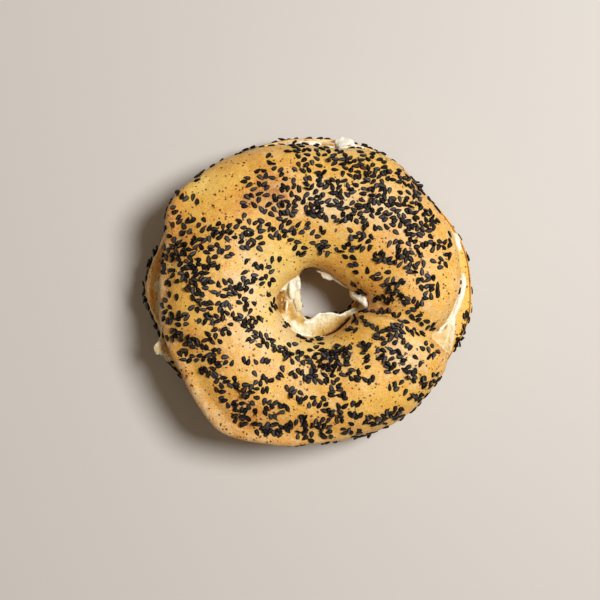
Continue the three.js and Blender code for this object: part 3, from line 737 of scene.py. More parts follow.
# Where the sesame lies thick on the upper half: the pixels of each stroke's ends, half its width, and its
# number of seeds. The share STROKE_SHARE of them is strewn.
STROKES = [
    (265, 157, 275, 169, 3, 5), (260, 174, 270, 178, 4, 6), (259, 182, 268, 190, 4, 3),
    (282, 173, 283, 182, 3, 3), (242, 177, 252, 193, 4, 6), (245, 203, 267, 194, 5, 8),
    (244, 210, 254, 220, 4, 4), (194, 198, 198, 205, 2, 2), (171, 208, 176, 215, 3, 3),
    (178, 194, 185, 198, 3, 3), (192, 181, 201, 175, 3, 4), (286, 190, 296, 206, 6, 14),
    (274, 196, 284, 206, 4, 5), (263, 207, 280, 212, 5, 9), (281, 222, 298, 228, 5, 9),
    (284, 213, 298, 214, 2, 3), (260, 223, 271, 229, 5, 7), (239, 223, 249, 228, 4, 5),
    (215, 226, 236, 227, 3, 5), (176, 222, 194, 222, 4, 6), (200, 222, 209, 228, 4, 5),
    (165, 228, 169, 239, 3, 4), (184, 232, 190, 235, 3, 3), (204, 240, 224, 233, 4, 9),
    (224, 239, 237, 232, 4, 5), (238, 245, 264, 245, 4, 10), (245, 236, 260, 237, 4, 6),
    (268, 236, 288, 233, 3, 6), (165, 252, 194, 248, 7, 26), (194, 240, 203, 244, 3, 5),
    (205, 246, 216, 266, 4, 8), (210, 250, 217, 244, 3, 4), (221, 250, 233, 254, 4, 6),
    (162, 264, 172, 274, 4, 8), (178, 242, 190, 260, 5, 10), (184, 260, 204, 278, 9, 34),
    (170, 281, 182, 275, 4, 6), (191, 281, 200, 290, 6, 9), (208, 281, 229, 284, 3, 5),
    (243, 275, 244, 284, 3, 4), (255, 278, 270, 283, 5, 9), (263, 269, 275, 268, 3, 4),
    (247, 260, 261, 270, 2, 3), (272, 258, 283, 259, 2, 2), (291, 240, 307, 254, 4, 8),
    (292, 147, 308, 155, 5, 14), (305, 146, 327, 150, 3, 6), (312, 156, 323, 158, 3, 4),
    (328, 151, 332, 157, 2, 3), (299, 165, 314, 167, 6, 9), (331, 161, 337, 163, 3, 3),
    (338, 153, 349, 157, 3, 5), (339, 160, 361, 165, 5, 11), (337, 168, 357, 174, 5, 10),
    (356, 154, 373, 158, 3, 5), (367, 160, 373, 166, 5, 5), (367, 171, 378, 170, 3, 4),
    (376, 160, 384, 162, 2, 2), (384, 170, 398, 172, 3, 6), (303, 177, 311, 184, 4, 5),
    (317, 175, 324, 176, 3, 3), (319, 184, 338, 188, 6, 14), (309, 188, 312, 189, 2, 2),
    (290, 181, 298, 187, 4, 3), (345, 184, 352, 195, 4, 7), (335, 189, 342, 195, 3, 4),
    (358, 184, 366, 183, 4, 4), (361, 191, 366, 199, 4, 4), (368, 177, 378, 186, 5, 9),
    (377, 176, 392, 176, 4, 6), (373, 192, 389, 199, 7, 19), (397, 179, 411, 183, 5, 12),
    (415, 180, 424, 192, 1.6, 7), (397, 193, 405, 199, 4, 5), (408, 191, 420, 199, 6, 12),
    (428, 198, 440, 212, 1.2, 5), (308, 194, 319, 199, 5, 9), (308, 207, 319, 212, 6, 16),
    (327, 202, 343, 206, 4, 7), (319, 216, 328, 217, 2, 2), (338, 216, 351, 220, 4, 9),
    (348, 207, 357, 208, 4, 7), (354, 209, 366, 226, 4, 9), (361, 207, 379, 214, 5, 12),
    (372, 226, 384, 227, 3, 3), (392, 225, 395, 231, 2, 2), (381, 215, 394, 219, 5, 10),
    (395, 202, 402, 204, 3, 3), (389, 208, 405, 216, 5, 8), (401, 211, 416, 231, 8, 32),
    (409, 202, 419, 208, 4, 6), (420, 212, 432, 219, 5, 9), (423, 228, 438, 223, 4, 6),
    (430, 235, 432, 241, 2, 3), (447, 232, 447, 242, 3, 4), (433, 246, 446, 242, 4, 8),
    (444, 255, 449, 254, 2, 3), (410, 243, 424, 244, 4, 7), (411, 250, 424, 254, 4, 4),
    (391, 247, 402, 244, 4, 5), (391, 260, 408, 254, 6, 16), (410, 262, 422, 266, 4, 7),
    (406, 269, 416, 270, 3, 4), (432, 262, 445, 264, 4, 6), (423, 275, 432, 292, 7, 22),
    (322, 230, 328, 232, 2, 2), (305, 224, 316, 234, 3, 5), (352, 233, 359, 237, 4, 7),
    (364, 232, 369, 239, 4, 4), (346, 244, 363, 251, 4, 7), (338, 249, 343, 255, 3, 4),
    (317, 241, 326, 252, 5, 10), (370, 245, 379, 258, 3, 6), (384, 252, 385, 254, 2, 2),
    (352, 261, 356, 269, 4, 5), (353, 283, 355, 285, 1, 2), (355, 288, 364, 294, 2, 5),
    (367, 272, 377, 278, 4, 5), (385, 271, 387, 273, 2, 2), (385, 281, 404, 283, 4, 13),
    (386, 287, 400, 292, 4, 8), (376, 297, 390, 301, 3, 7), (402, 298, 409, 302, 3, 6),
    (412, 300, 419, 304, 3, 4), (357, 311, 387, 312, 0.8, 11), (413, 313, 424, 319, 5, 11),
    (390, 310, 398, 316, 1.5, 4), (424, 327, 433, 326, 3, 4), (354, 319, 359, 323, 2, 3),
    (364, 319, 369, 323, 3, 4), (402, 323, 416, 331, 4, 10), (418, 332, 426, 334, 2, 2),
    (390, 328, 400, 338, 6, 15), (372, 328, 382, 330, 2, 3), (374, 331, 382, 339, 3, 5),
    (349, 328, 354, 331, 3, 3), (365, 342, 367, 357, 5, 10), (366, 366, 367, 368, 2, 2),
    (381, 345, 391, 348, 4, 5), (378, 354, 392, 356, 5, 9), (396, 354, 402, 362, 4, 5),
    (409, 344, 410, 348, 2, 2), (421, 345, 434, 348, 4, 5), (430, 355, 437, 353, 3, 3),
    (414, 358, 420, 363, 2, 2), (387, 367, 395, 369, 4, 8), (406, 368, 416, 378, 5, 10),
    (295, 358, 320, 362, 4, 14), (314, 354, 332, 357, 5, 16), (333, 354, 347, 349, 5, 14),
    (322, 353, 346, 361, 5, 14), (319, 363, 332, 382, 9, 36), (332, 363, 341, 374, 5, 10),
    (312, 338, 322, 346, 4, 8), (298, 335, 305, 339, 3, 4), (292, 374, 300, 374, 3, 4),
    (304, 379, 315, 379, 3, 6), (351, 373, 361, 377, 5, 10), (371, 379, 372, 381, 2, 2),
    (329, 392, 342, 395, 4, 9), (391, 388, 402, 385, 3, 5), (423, 377, 429, 386, 5, 9),
    (433, 374, 438, 385, 4, 6), (406, 395, 426, 396, 4, 9), (290, 391, 303, 400, 4, 8),
    (309, 401, 323, 401, 4, 7), (352, 404, 359, 402, 3, 4), (338, 409, 344, 404, 3, 4),
    (323, 410, 331, 414, 4, 6), (337, 418, 344, 419, 3, 3), (349, 414, 360, 415, 3, 5),
    (366, 423, 398, 411, 5, 28), (344, 427, 356, 433, 5, 11), (317, 423, 326, 426, 5, 13),
    (303, 418, 309, 428, 2, 3), (300, 433, 309, 437, 4, 8), (321, 436, 329, 434, 3, 5),
    (164, 298, 176, 296, 3, 4), (190, 280, 200, 295, 6, 14), (194, 295, 208, 306, 4, 9),
    (209, 289, 229, 293, 4, 6), (233, 290, 250, 287, 4, 9), (192, 307, 203, 307, 3, 5),
    (217, 306, 228, 314, 5, 11), (236, 298, 252, 303, 4, 6), (245, 308, 252, 311, 2, 3),
    (166, 314, 184, 320, 6, 17), (164, 306, 170, 307, 2, 2), (199, 320, 205, 322, 2, 2),
    (206, 316, 215, 319, 4, 7), (233, 313, 241, 317, 4, 6), (230, 323, 231, 325, 2, 2),
    (243, 321, 253, 328, 5, 13), (253, 320, 262, 321, 3, 4), (174, 325, 178, 334, 4, 5),
    (169, 336, 183, 337, 4, 7), (182, 336, 194, 345, 5, 12), (194, 343, 205, 344, 4, 7),
    (206, 337, 218, 342, 4, 6), (213, 328, 215, 333, 2, 2), (217, 330, 228, 332, 3, 3),
    (247, 341, 262, 343, 3, 4), (254, 335, 259, 334, 2, 2), (263, 338, 272, 344, 4, 7),
    (271, 297, 273, 312, 3, 7), (283, 326, 288, 326, 2, 4), (288, 346, 295, 346, 2, 3),
    (271, 343, 288, 356, 4, 9), (286, 354, 296, 357, 4, 5), (183, 353, 188, 358, 4, 9),
    (192, 360, 203, 356, 3, 5), (207, 358, 218, 366, 4, 7), (210, 350, 219, 353, 3, 4),
    (222, 359, 231, 361, 3, 4), (246, 360, 254, 364, 3, 4), (254, 359, 268, 363, 2, 3),
    (203, 372, 215, 372, 4, 9), (217, 378, 224, 383, 4, 5), (257, 374, 258, 382, 3, 4),
    (262, 379, 269, 381, 3, 3), (230, 382, 237, 386, 4, 6), (240, 387, 254, 386, 3, 6),
    (242, 391, 260, 398, 3, 5), (263, 390, 269, 391, 2, 3), (284, 366, 277, 379, 2, 3),
    (296, 375, 303, 372, 3, 4), (218, 390, 229, 404, 3, 6), (236, 405, 252, 407, 5, 13),
    (267, 402, 278, 404, 4, 8), (268, 409, 273, 413, 4, 5), (279, 410, 288, 407, 3, 3),
    (290, 390, 295, 398, 3, 4), (295, 399, 302, 400, 2, 3), (236, 418, 247, 420, 4, 9),
    (260, 428, 285, 430, 7, 28), (301, 416, 306, 418, 2, 2), (291, 426, 298, 421, 3, 4),
]
STROKE_SHARE = 0.84

# The same on the lower half: outside the upper one, as thin dashes against its wall, and in its hole
LOWER_STROKES = [
    (465, 314, 470, 320, 2, 7), (465, 324, 462, 334, 1.2, 6), (461, 336, 455, 346, 1.6, 9),
    (453, 346, 456, 351, 1.4, 3), (169, 363, 182, 376, 2.4, 9),
]
EDGE_STROKES = [
    (273, 143, 277, 142, 0.3, 1), (281, 141, 289, 141, 0.3, 2), (293, 140, 296, 140, 0.3, 1),
    (303, 140, 309, 140, 0.3, 1), (313, 140, 330, 140, 0.3, 4), (353, 143, 358, 144, 0.3, 1),
    (361, 145, 366, 146, 0.3, 1), (378, 150, 384, 152, 0.3, 1), (243, 153, 256, 149, 0.3, 2),
    (461, 236, 463, 240, 0.3, 1), (465, 258, 465, 258, 0.3, 1), (470, 287, 470, 291, 0.3, 1),
    (469, 309, 469, 312, 0.3, 1), (157, 248, 152, 260, 1, 8), (151, 262, 149, 279, 0.8, 11),
    (148, 283, 147, 294, 0.8, 10), (147, 298, 149, 310, 0.8, 10), (151, 314, 160, 334, 1, 14),
    (352, 440, 384, 436, 0.8, 4), (400, 433, 430, 423, 0.8, 3), (200, 172, 192, 182, 0.8, 3),
]
HOLE_STROKES = [
    (300, 289, 301, 290, 0.4, 1), (300.5, 299, 301.5, 305, 0.5, 3), (306, 316, 311, 317, 0.4, 2),
    (338, 310, 349, 306, 1.2, 5),
]

# The middle of the bagel in the picture. A stroke's seed that misses the crust is pulled towards it, or away
# from it where the pull is negative.
BAGEL_AT_PIXEL = np.array([309, 290])

# How thick the seeds lie on the outer walls: the angles that each stretch runs between, and the amount
UPPER_WALL_SEEDS = [
    (0, 22, 0.04), (22, 60, 0.1), (60, 155, 0.3), (155, 262, 0.03), (262, 330, 0.3), (330, 360, 0.04),
]
LOWER_WALL_SEEDS = [
    (0, 72, 0.6), (72, 100, 0.8), (100, 150, 0.6), (150, 204, 1.3), (204, 211, 0.5), (211, 222, 1.4),
    (222, 268, 0.5), (268, 326, 0.6), (326, 346, 1.3), (346, 360, 0.5),
]

# Walls further out than OUTER_FROM are outer ones, and those nearer than HOLE_WITHIN are the hole's
OUTER_FROM = 40
HOLE_WITHIN = 30

# The angles where the lower half's edge shows. Only the edge's own seeds lie high on the wall there: the
# heights between which they stand and their lean, at the left and elsewhere, and how deep they sit.
SHOWN_EDGES = [(150, 222), (238, 410), (70, 108)]
LEFT_EDGE = (15.8, 19.4, 0.65)
OTHER_EDGES = (14.5, 17, 0.42)
EDGE_SINK = 0.15


def seed_form():
    """One seed, a flat drop with a blunt and a pointed end, one unit long, wide and thick: its vertices, its
    faces, and how near each vertex is to the seed's edge."""
    count, sides = 7, 10
    t = np.cos(np.linspace(0, math.pi, count + 2))[1:-1]
    width = (1 - t) ** 0.8 * (1 + t) ** 0.42
    width /= width.max()
    turn = np.linspace(0, TURN, sides, endpoint=False) + math.pi / 2
    y = np.sign(np.cos(turn)) * np.abs(np.cos(turn)) ** 0.85
    z = np.sign(np.sin(turn)) * np.abs(np.sin(turn)) ** 0.55
    rows = [np.stack([np.full(sides, at), w * y, w**0.6 * z], 1) for at, w in zip(t, width)]
    points = np.concatenate([[[1.0, 0, 0]], *rows, [[-1.0, 0, 0]]])
    row_edge = np.clip(np.abs(y) * 1.6 - 0.3, 0, 1)
    edge = np.concatenate([[1.0], *[np.maximum(row_edge, abs(at) > 0.85) for at in t], [1.0]])
    faces = []
    for k in range(sides):
        k2 = (k + 1) % sides
        faces.append((0, 1 + k, 1 + k2))
        for i in range(count - 1):
            a = 1 + i * sides
            faces.append((a + k, a + sides + k, a + sides + k2, a + k2))
        last = 1 + (count - 1) * sides
        faces.append((len(points) - 1, last + k2, last + k))
    return points / 2, faces, edge


def lying(place, outward):
    """A seed at a place, which points anywhere along the crust."""
    return place, outward, unit(np.cross(outward, rng.normal(0, 1, 3)))


def spine(seed):
    place, _, along = seed
    return place + SPINE[:, None] * along


def rooms_between(seed, spines):
    """How near this seed's spine comes to each of the others."""
    gaps = np.linalg.norm(spines[:, :, None] - spine(seed), axis=-1)
    return gaps.min((1, 2))


def piled_up(seeds):
    """How many seeds each one lies on, counting those that were strewn before it."""
    levels = np.zeros(len(seeds), int)
    spines = np.array([spine(seed) for seed in seeds])
    for i in range(1, len(seeds)):
        under = (rooms_between(seeds[i], spines[:i]) < PILED_WITHIN) & (levels[:i] <= HIGHEST_PILE)
        if under.any():
            levels[i] = levels[:i][under].max() + 1
    return levels


def sesame(name, seeds, most):
    """One joined mesh of seeds, without those that lie on more than that many others."""
    form, faces, edge = seed_form()
    points, all_faces, tones = [], [], []
    for (place, outward, heading), level in zip(seeds, piled_up(seeds)):
        if level > most:
            continue
        size = np.array(SEED_SIZE) * rng.normal(1, SEED_VARIES)
        up = unit(outward + rng.normal(0, TILT + PILED_TILT * level, 3))
        beside = unit(np.cross(up, heading))
        axes = np.stack([np.cross(beside, up), beside, up])
        lift = size[2] * (LIFT + PILED_LIFT * level)
        start = len(points) * len(form)
        points.append((form * size) @ axes + place + outward * lift)
        all_faces.extend(tuple(start + v for v in face) for face in faces)
        tones.append(np.full(len(form), rng.random()))
    return mesh_object(name, np.concatenate(points), all_faces, [seed_finish],
                       {"tone": np.concatenate(tones), "edge": np.tile(edge, len(tones))})


def tree_of(made):
    mesh = made.data
    return BVHTree.FromPolygons([v.co / MM for v in mesh.vertices], [p.vertices[:] for p in mesh.polygons])


def crust_under(tree, pixel, pull, steps=9):
    """The place and direction of the crust at a pixel, pulled by up to that share to the bagel's middle."""
    for share in np.linspace(0, pull, steps):
        at_x, at_y = BAGEL_AT_PIXEL + (pixel - BAGEL_AT_PIXEL) * (1 - share)
        ray = Vector((at_x - PICTURE / 2, PICTURE / 2 - at_y, -FOCAL_PIXELS)).normalized()
        place, outward, _, _ = tree.ray_cast(Vector(CAMERA_AT), ray)
        if place is not None:
            return np.array(place), np.array(outward)
    return None


def from_above(tree, strokes, share=1.0, least_room=0.8, pull=0.04, tries=12):
    """Seeds strewn along the strokes on the crust that the camera sees, each the roomiest of its tries."""
    seeds = []
    spines = np.empty((0, len(SPINE), 3))
    for x0, y0, x1, y1, half_width, count in strokes:
        for _ in range(max(1, round(count * share))):
            best, best_room = None, least_room
            for _ in range(tries):
                pixel = np.array([x0, y0]) + np.array([x1 - x0, y1 - y0]) * rng.random()
                hit = crust_under(tree, pixel + rng.uniform(-1, 1, 2) * half_width, pull)
                if hit is None:
                    continue
                seed = lying(*hit)
                room = min(rooms_between(seed, spines).min(initial=WANTED_ROOM), WANTED_ROOM)
                if room > best_room:
                    best, best_room = seed, room
                if room == WANTED_ROOM:
                    break
            if best is not None:
                seeds.append(best)
                spines = np.append(spines, spine(best)[None], 0)
    return seeds


def against_wall(seed):
    """The same seed, stood against the lower half's wall beside the place where it lay."""
    x, y, _ = seed[0]
    angle = math.atan2(y, x)
    low, high, lean = LEFT_EDGE if x < -OUTER_FROM else OTHER_EDGES
    outward = np.array([math.cos(angle), math.sin(angle), lean]) / math.hypot(1, lean)
    along = np.array([-math.sin(angle), math.cos(angle), 0]) + rng.normal(0, 0.1 + 0.22 * lean, 3)
    along -= along.dot(outward) * outward
    radius = float(outline(LOWER_RIM)(angle)) - EDGE_SINK
    place = np.array([radius * math.cos(angle), radius * math.sin(angle), rng.uniform(low, high)])
    return place, outward, unit(along)


def strewn_over(made, wanted, count, room):
    """Seeds spread by chance over the faces that wanted picks, from their middles and directions."""
    mesh = made.data
    middles = np.array([p.center for p in mesh.polygons]) / MM
    normals = np.array([p.normal for p in mesh.polygons])
    areas = np.array([p.area for p in mesh.polygons]) * wanted(middles, normals)
    picks = rng.choice(len(areas), count * 3, p=areas / areas.sum())
    seeds = []
    spines = np.empty((0, len(SPINE), 3))
    for pick in picks:
        seed = lying(middles[pick], normals[pick])
        if rooms_between(seed, spines).min(initial=math.inf) > room:
            seeds.append(seed)
            spines = np.append(spines, spine(seed)[None], 0)
        if len(seeds) == count:
            break
    return seeds


def thickness_by_angle(places, stretches):
    angle = np.mod(angle_of(places), 360)
    thick = np.zeros(len(places))
    for start, end, amount in stretches:
        thick[(angle >= start) & (angle < end)] = amount
    return thick


def on_upper_wall(places, normals):
    radius = np.hypot(places[:, 0], places[:, 1])
    here = (normals[:, 2] < 0.3) & (places[:, 2] > UPPER_CUT + 1) & (radius > OUTER_FROM)
    return here * thickness_by_angle(places, UPPER_WALL_SEEDS)


def on_lower_wall(places, normals):
    x, y, z = places.T
    here = (z > 2) & (z < LOWER_CUT - 1.4) & (np.hypot(x, y) > OUTER_FROM)
    for start, end in SHOWN_EDGES:
        here &= (near_angle(places, start, end, fade=1) == 0) | (z < LOWER_BELT - 3)
    return here * thickness_by_angle(places, LOWER_WALL_SEEDS)


def in_lower_hole(places, normals):
    x, y, z = places.T
    return (z > 3) & (z < LOWER_CUT - 1) & (np.hypot(x, y) < HOLE_WITHIN)


def on_bare_edge(place, outward, _):
    """Whether a seed is on the left edge of the upper half, which is bare."""
    return outward[2] < 0.42 and place[0] < -20 and place[1] < 10


def upper_sesame(upper):
    seeds = [seed for seed in from_above(tree_of(upper), STROKES, STROKE_SHARE) if not on_bare_edge(*seed)]
    seeds += strewn_over(upper, on_upper_wall, count=50, room=2)
    return sesame("upper_sesame", seeds, most=2)


def lower_sesame(lower):
    tree = tree_of(lower)
    seeds = from_above(tree, LOWER_STROKES, least_room=1.1)
    seeds += [against_wall(seed) for seed in from_above(tree, EDGE_STROKES, least_room=1.4)]
    seeds += from_above(tree, HOLE_STROKES, least_room=1.6, pull=-0.3)
    seeds += strewn_over(lower, on_lower_wall, count=500, room=1.5)
    seeds += strewn_over(lower, in_lower_hole, count=30, room=2.2)
    return sesame("lower_sesame", seeds, most=1)


# The cream cheese

# The layer's points lie closer across it as far as NEAR_HOLE and beyond NEAR_RIM. Its edges are rounded over
# ROUNDED of its width, and it sinks by PRESSED into each half.
NEAR_HOLE = 0.36
NEAR_RIM = 0.86
ROUNDED = 0.012
PRESSED = 0.3

# The waves of its top, the raggedness of its edge, and the lumps of what is squeezed out, as noises
CREAM_WAVES = [(0.35, 4, 7), (0.2, 1.5, 8)]
CREAM_RAGGED = [(0.35, 2.2, 9, 3)]
SQUEEZED_LUMPS = [(0.26, 2.6, 11, 3), (0.07, 0.9, 12)]

# In the hole the layer is scraped down to this height. The slope up to the rest is this wide, and its middle
# lies at the upper half's hole.
SCRAPED_TOP = 20.3
SCRAPED_SLOPE = 5

# How toasted all crumb is at least, how white the layer is on top and at its outer edge, and how much less so
# between two angles of that edge, with their fade
LEAST_TOAST = 0.14
TOP_WHITE = 0.12
EDGE_WHITE = 0.8
LEFT_LESS_WHITE = 0.6
LESS_WHITE = (140, 260, 10)

# Ribbons and blobs of cream and crumb: the pixel and height of each point of the path, and half the width and
# height. Those at the seam come first, then the flap at the left, and last those in the hole.
RIBBONS = [
    ([(337.4, 137.6, 22.6), (338.4, 142.6, 23.8), (340.4, 146.4, 26.4), (341.4, 148.6, 29.6)], 1.4, 0.6),
    ([(342, 135.8, 22.8), (342.4, 141.6, 24), (342.4, 146.2, 26.8), (342.2, 149, 30.4)], 1.7, 0.6),
    ([(346, 137.4, 23), (346.8, 141, 23.8), (345.8, 145.4, 25.4)], 1.6, 0.6),
    ([(348, 139.8, 23.2), (351, 143, 23.4), (354.4, 145.8, 23.2)], 1.2, 0.6),
    ([(350, 144.4, 23.6), (358, 147, 22.8), (365, 148, 22.6)], 0.6, 0.7),
    ([(301, 143, 22.6), (309, 143.8, 23), (319, 144.6, 22.8)], 0.7, 0.8),
    ([(326, 147, 23.2), (330, 147.8, 23.6), (336, 147.6, 23.4)], 0.5, 0.7),
    ([(453.6, 232.4, 22.6), (455.8, 238, 23), (457.6, 244, 23), (459.6, 252, 22.6)], 1.4, 1.2),
    ([(463, 273, 22.4), (463.4, 285, 22.8), (460, 299, 22.8), (455.4, 311, 22.6),
      (451.4, 320, 22.6)], 1.25, 1.3),
    ([(450.6, 319.6, 22.8), (445, 324.6, 23.6), (438.4, 331, 24.6)], 0.8, 1.5),
    ([(454, 314, 22.4), (452.8, 327, 22.2), (450.6, 342, 21.8), (448.8, 356, 21.4)], 1.1, 1.1),
    ([(449.4, 322, 21.8), (448.4, 332, 21.8), (446.6, 344, 21.6), (445, 354, 21.4)], 1.6, 0.8),
    ([(158.8, 280.6, 22), (156.6, 284.6, 22.2), (157, 289, 22.2), (158.8, 293, 22)], 1, 0.6),
    ([(159, 298.6, 22), (157.8, 306, 22.2), (160.2, 317, 22)], 1, 0.6),
    ([(161.6, 334.6, 25.4), (159.8, 341, 27.6), (155.8, 346, 28.2), (154.2, 351.4, 27.2)], 0.7, 0.8),
    ([(163, 335.6, 24.6), (161.4, 342, 26.8), (158, 348, 27.4), (157, 354.8, 26.8)], 1.3, 0.9),
    ([(165, 340, 23.8), (163.6, 347, 25.8), (161, 355.6, 25.8)], 1.6, 1),
    ([(168, 345, 23.2), (167.4, 350, 24.2), (165, 355.8, 24.4)], 1.4, 0.9),
    ([(171, 349.6, 22.4), (171.4, 354.8, 22.4)], 1, 0.7),
    ([(321, 273.4, 24.4), (325.4, 274.8, 25), (330, 276.8, 25), (333.6, 279, 24.4)], 1.5, 1.1),
    ([(316, 270.2, 24.2), (321, 272.6, 24.6), (325, 274.8, 24.8)], 0.45, 0.9),
    ([(333, 278.8, 24.4), (341.8, 283.6, 24.8), (349.4, 288.4, 24.6)], 0.6, 1),
    ([(350.6, 288.4, 25), (352.4, 293, 26.6), (356, 296.6, 28), (360.4, 299.2, 29), (364.2, 302, 29.8),
      (365.8, 305.4, 29.4), (365.6, 308.8, 27.8)], 1.15, 1.6),
    ([(353.6, 291, 26.4), (358.4, 293.8, 28.6), (363.4, 297.6, 30), (366.6, 300.4, 30.6)], 0.8, 1.4),
    ([(351.2, 291, 23.4), (352.8, 296.4, 24.6), (357.6, 300.4, 25.6)], 0.8, 1.4),
    ([(290.8, 279.6, 21.6), (291, 289, 22.2), (291.6, 300, 21.2)], 0.9, 1),
    ([(294.6, 279.6, 22), (295.2, 285, 22), (295.4, 294, 21.4)], 1.1, 0.7),
    ([(298.4, 279.8, 22.2), (298.6, 285, 22.6), (298.8, 291, 21.6)], 0.9, 1),
    ([(287.2, 300, 20.6), (286.8, 305, 21), (286, 310.6, 20.6)], 0.5, 0.7),
    ([(297, 290, 20.8), (297.6, 300, 21), (300, 313, 20.2)], 1.5, 1.1),
    ([(303.6, 324, 20), (309, 323, 20.4), (314, 318.6, 20.6), (320, 313, 20.8)], 0.8, 0.9),
    ([(320, 313, 20.8), (325, 313.6, 20.6), (333, 313.8, 20.8), (341.6, 316, 20.2)], 0.6, 0.9),
]

# What shows of the cream and the crumb: each stroke's path and half its width in pixels, and its strength.
# White is cream cheese, toasted is browned crumb with painted shade in the pockets under the upper half's
# edge and along the lobe's lower side, and raised and sunk strokes are in millimetres.
WHITE = [
    ([(291, 280), (291.4, 299)], 2, 1), ([(294.6, 281), (295.2, 290)], 1.6, 0.8),
    ([(298.6, 280), (298.8, 290)], 2, 1), ([(287.2, 301.4), (286, 310)], 1.1, 0.9),
    ([(280, 289.6), (285, 289.4)], 1.5, 0.9), ([(293.6, 322), (296, 326), (299, 329)], 3, 0.6),
    ([(305.3, 322.3), (311.7, 321.6), (314.7, 318.5), (320.5, 312.6), (326.2, 313.2), (334, 313.4),
      (341.5, 315)], 1.7, 1), ([(343.8, 314.7), (349.9, 308.6), (354.5, 304)], 2, 0.6),
    ([(299, 333.4), (305, 335.2), (312, 336.2)], 1, 0.9), ([(316, 337), (325, 337)], 1, 0.9),
    ([(453.4, 233), (456.4, 241), (459.2, 250)], 2.6, 0.8),
    ([(463.4, 276), (463.6, 289), (459.6, 301), (456, 310), (452.7, 318)], 2.6, 1),
    ([(448.7, 320.5), (444.1, 325.1), (438.9, 331)], 1.6, 1), ([(454, 318.2), (452.8, 327)], 2, 0.6),
    ([(302, 142.4), (310, 143.4), (319, 144.2)], 2, 0.95), ([(327, 147), (335, 147.4)], 1.3, 0.95),
    ([(336, 140), (343, 138), (350, 142)], 4, 1), ([(339, 146), (348, 144)], 4, 1),
    ([(341, 149), (343, 149)], 3, 1), ([(352, 146), (366, 147.4)], 1.2, 0.8),
    ([(150, 286), (159, 284), (158, 289)], 1.8, 0.6), ([(158, 302), (157.4, 312)], 1.8, 0.5),
]
TOASTED_AND_SHADED = [
    ([(280, 293), (280.6, 309)], 5, 0.62), ([(288, 306), (294, 318), (302, 321)], 4.4, 0.4),
    ([(297, 306), (301, 315)], 2.6, 0.16), ([(288, 302), (289, 310)], 2, 0.2),
    ([(357, 303), (356, 305)], 3, 0.4),
    ([(324, 336.6), (330, 335), (337, 331.4), (343, 326), (349, 319)], 2.4, 0.9),
    ([(320, 334), (331, 330), (342, 321)], 7, 0.42), ([(322, 145), (332, 145.5), (337, 148)], 2.4, 0.5),
    ([(152, 262), (149, 290), (154, 318)], 5, 0.5), ([(157.6, 349), (162, 349), (168, 352)], 3, 0.3),
    ([(168, 346), (172, 354)], 1.6, 0.5), ([(445.6, 326), (445.8, 328)], 2, 0.5),
    ([(446, 332), (447, 342)], 4, 0.16), ([(435, 333), (441, 337), (447, 345), (449, 353)], 9, 0.24),
]
RAISED = [
    ([(280.4, 289.6), (284.6, 289.4)], 1.8, 1.2), ([(293, 322), (296, 326), (300, 330)], 4, 1),
    ([(306.3, 322.3), (311.7, 322.3), (314.7, 318.5), (320.5, 312.6), (326.2, 313.6), (334, 313.6),
      (341.5, 315)], 2.6, 0.7), ([(310, 329), (322, 325), (334, 322)], 8, 0.8),
]
SUNK = [
    ([(280.6, 293), (281.2, 308)], 4.4, 2.1), ([(289, 306), (292, 318)], 3.4, 1.2),
    ([(356.8, 304)] * 2, 3, 1.2), ([(324, 337), (330, 335.6), (337, 332), (343, 326), (349, 319)], 2.6, 1.4),
]

# Where what is squeezed out is crumb rather than cream
BARE = [
    ([(160, 340), (157, 351), (170, 350)], 7, 0.66), ([(297.6, 294), (298.6, 302), (301, 314)], 4, 0.7),
    ([(450, 328), (447, 356)], 5, 0.8), ([(324, 274), (332, 278)], 4, 0.4),
    ([(316, 270), (321, 272)], 3, 0.8), ([(336, 280), (347, 286)], 2.4, 0.5),
    ([(452, 232), (456, 242)], 4, 0.4), ([(157, 282), (157.4, 286)], 3, 0.35),
    ([(157.4, 288), (159, 318)], 4, 0.75),
]


def cream_section():
    """The layer's section, over its top from the hole to the rim and back: how far across the ring each point
    lies, and its height from -1 to 1."""
    turn = np.linspace(-math.pi / 2, math.pi / 2, 9)
    inner = ROUNDED * (1 - np.cos(turn))
    top = np.concatenate([np.linspace(ROUNDED, NEAR_HOLE, 52), np.linspace(NEAR_HOLE, NEAR_RIM, 8)[1:-1],
                          np.linspace(NEAR_RIM, 1 - ROUNDED, 16)[:-1]])[1:]
    base = np.linspace(1 - ROUNDED, ROUNDED, 14)[1:-1]
    across = np.concatenate([inner, top, 1 - inner[::-1], base])
    return across, np.concatenate([np.sin(turn), np.ones(len(top)), np.sin(turn[::-1]), -np.ones(len(base))])


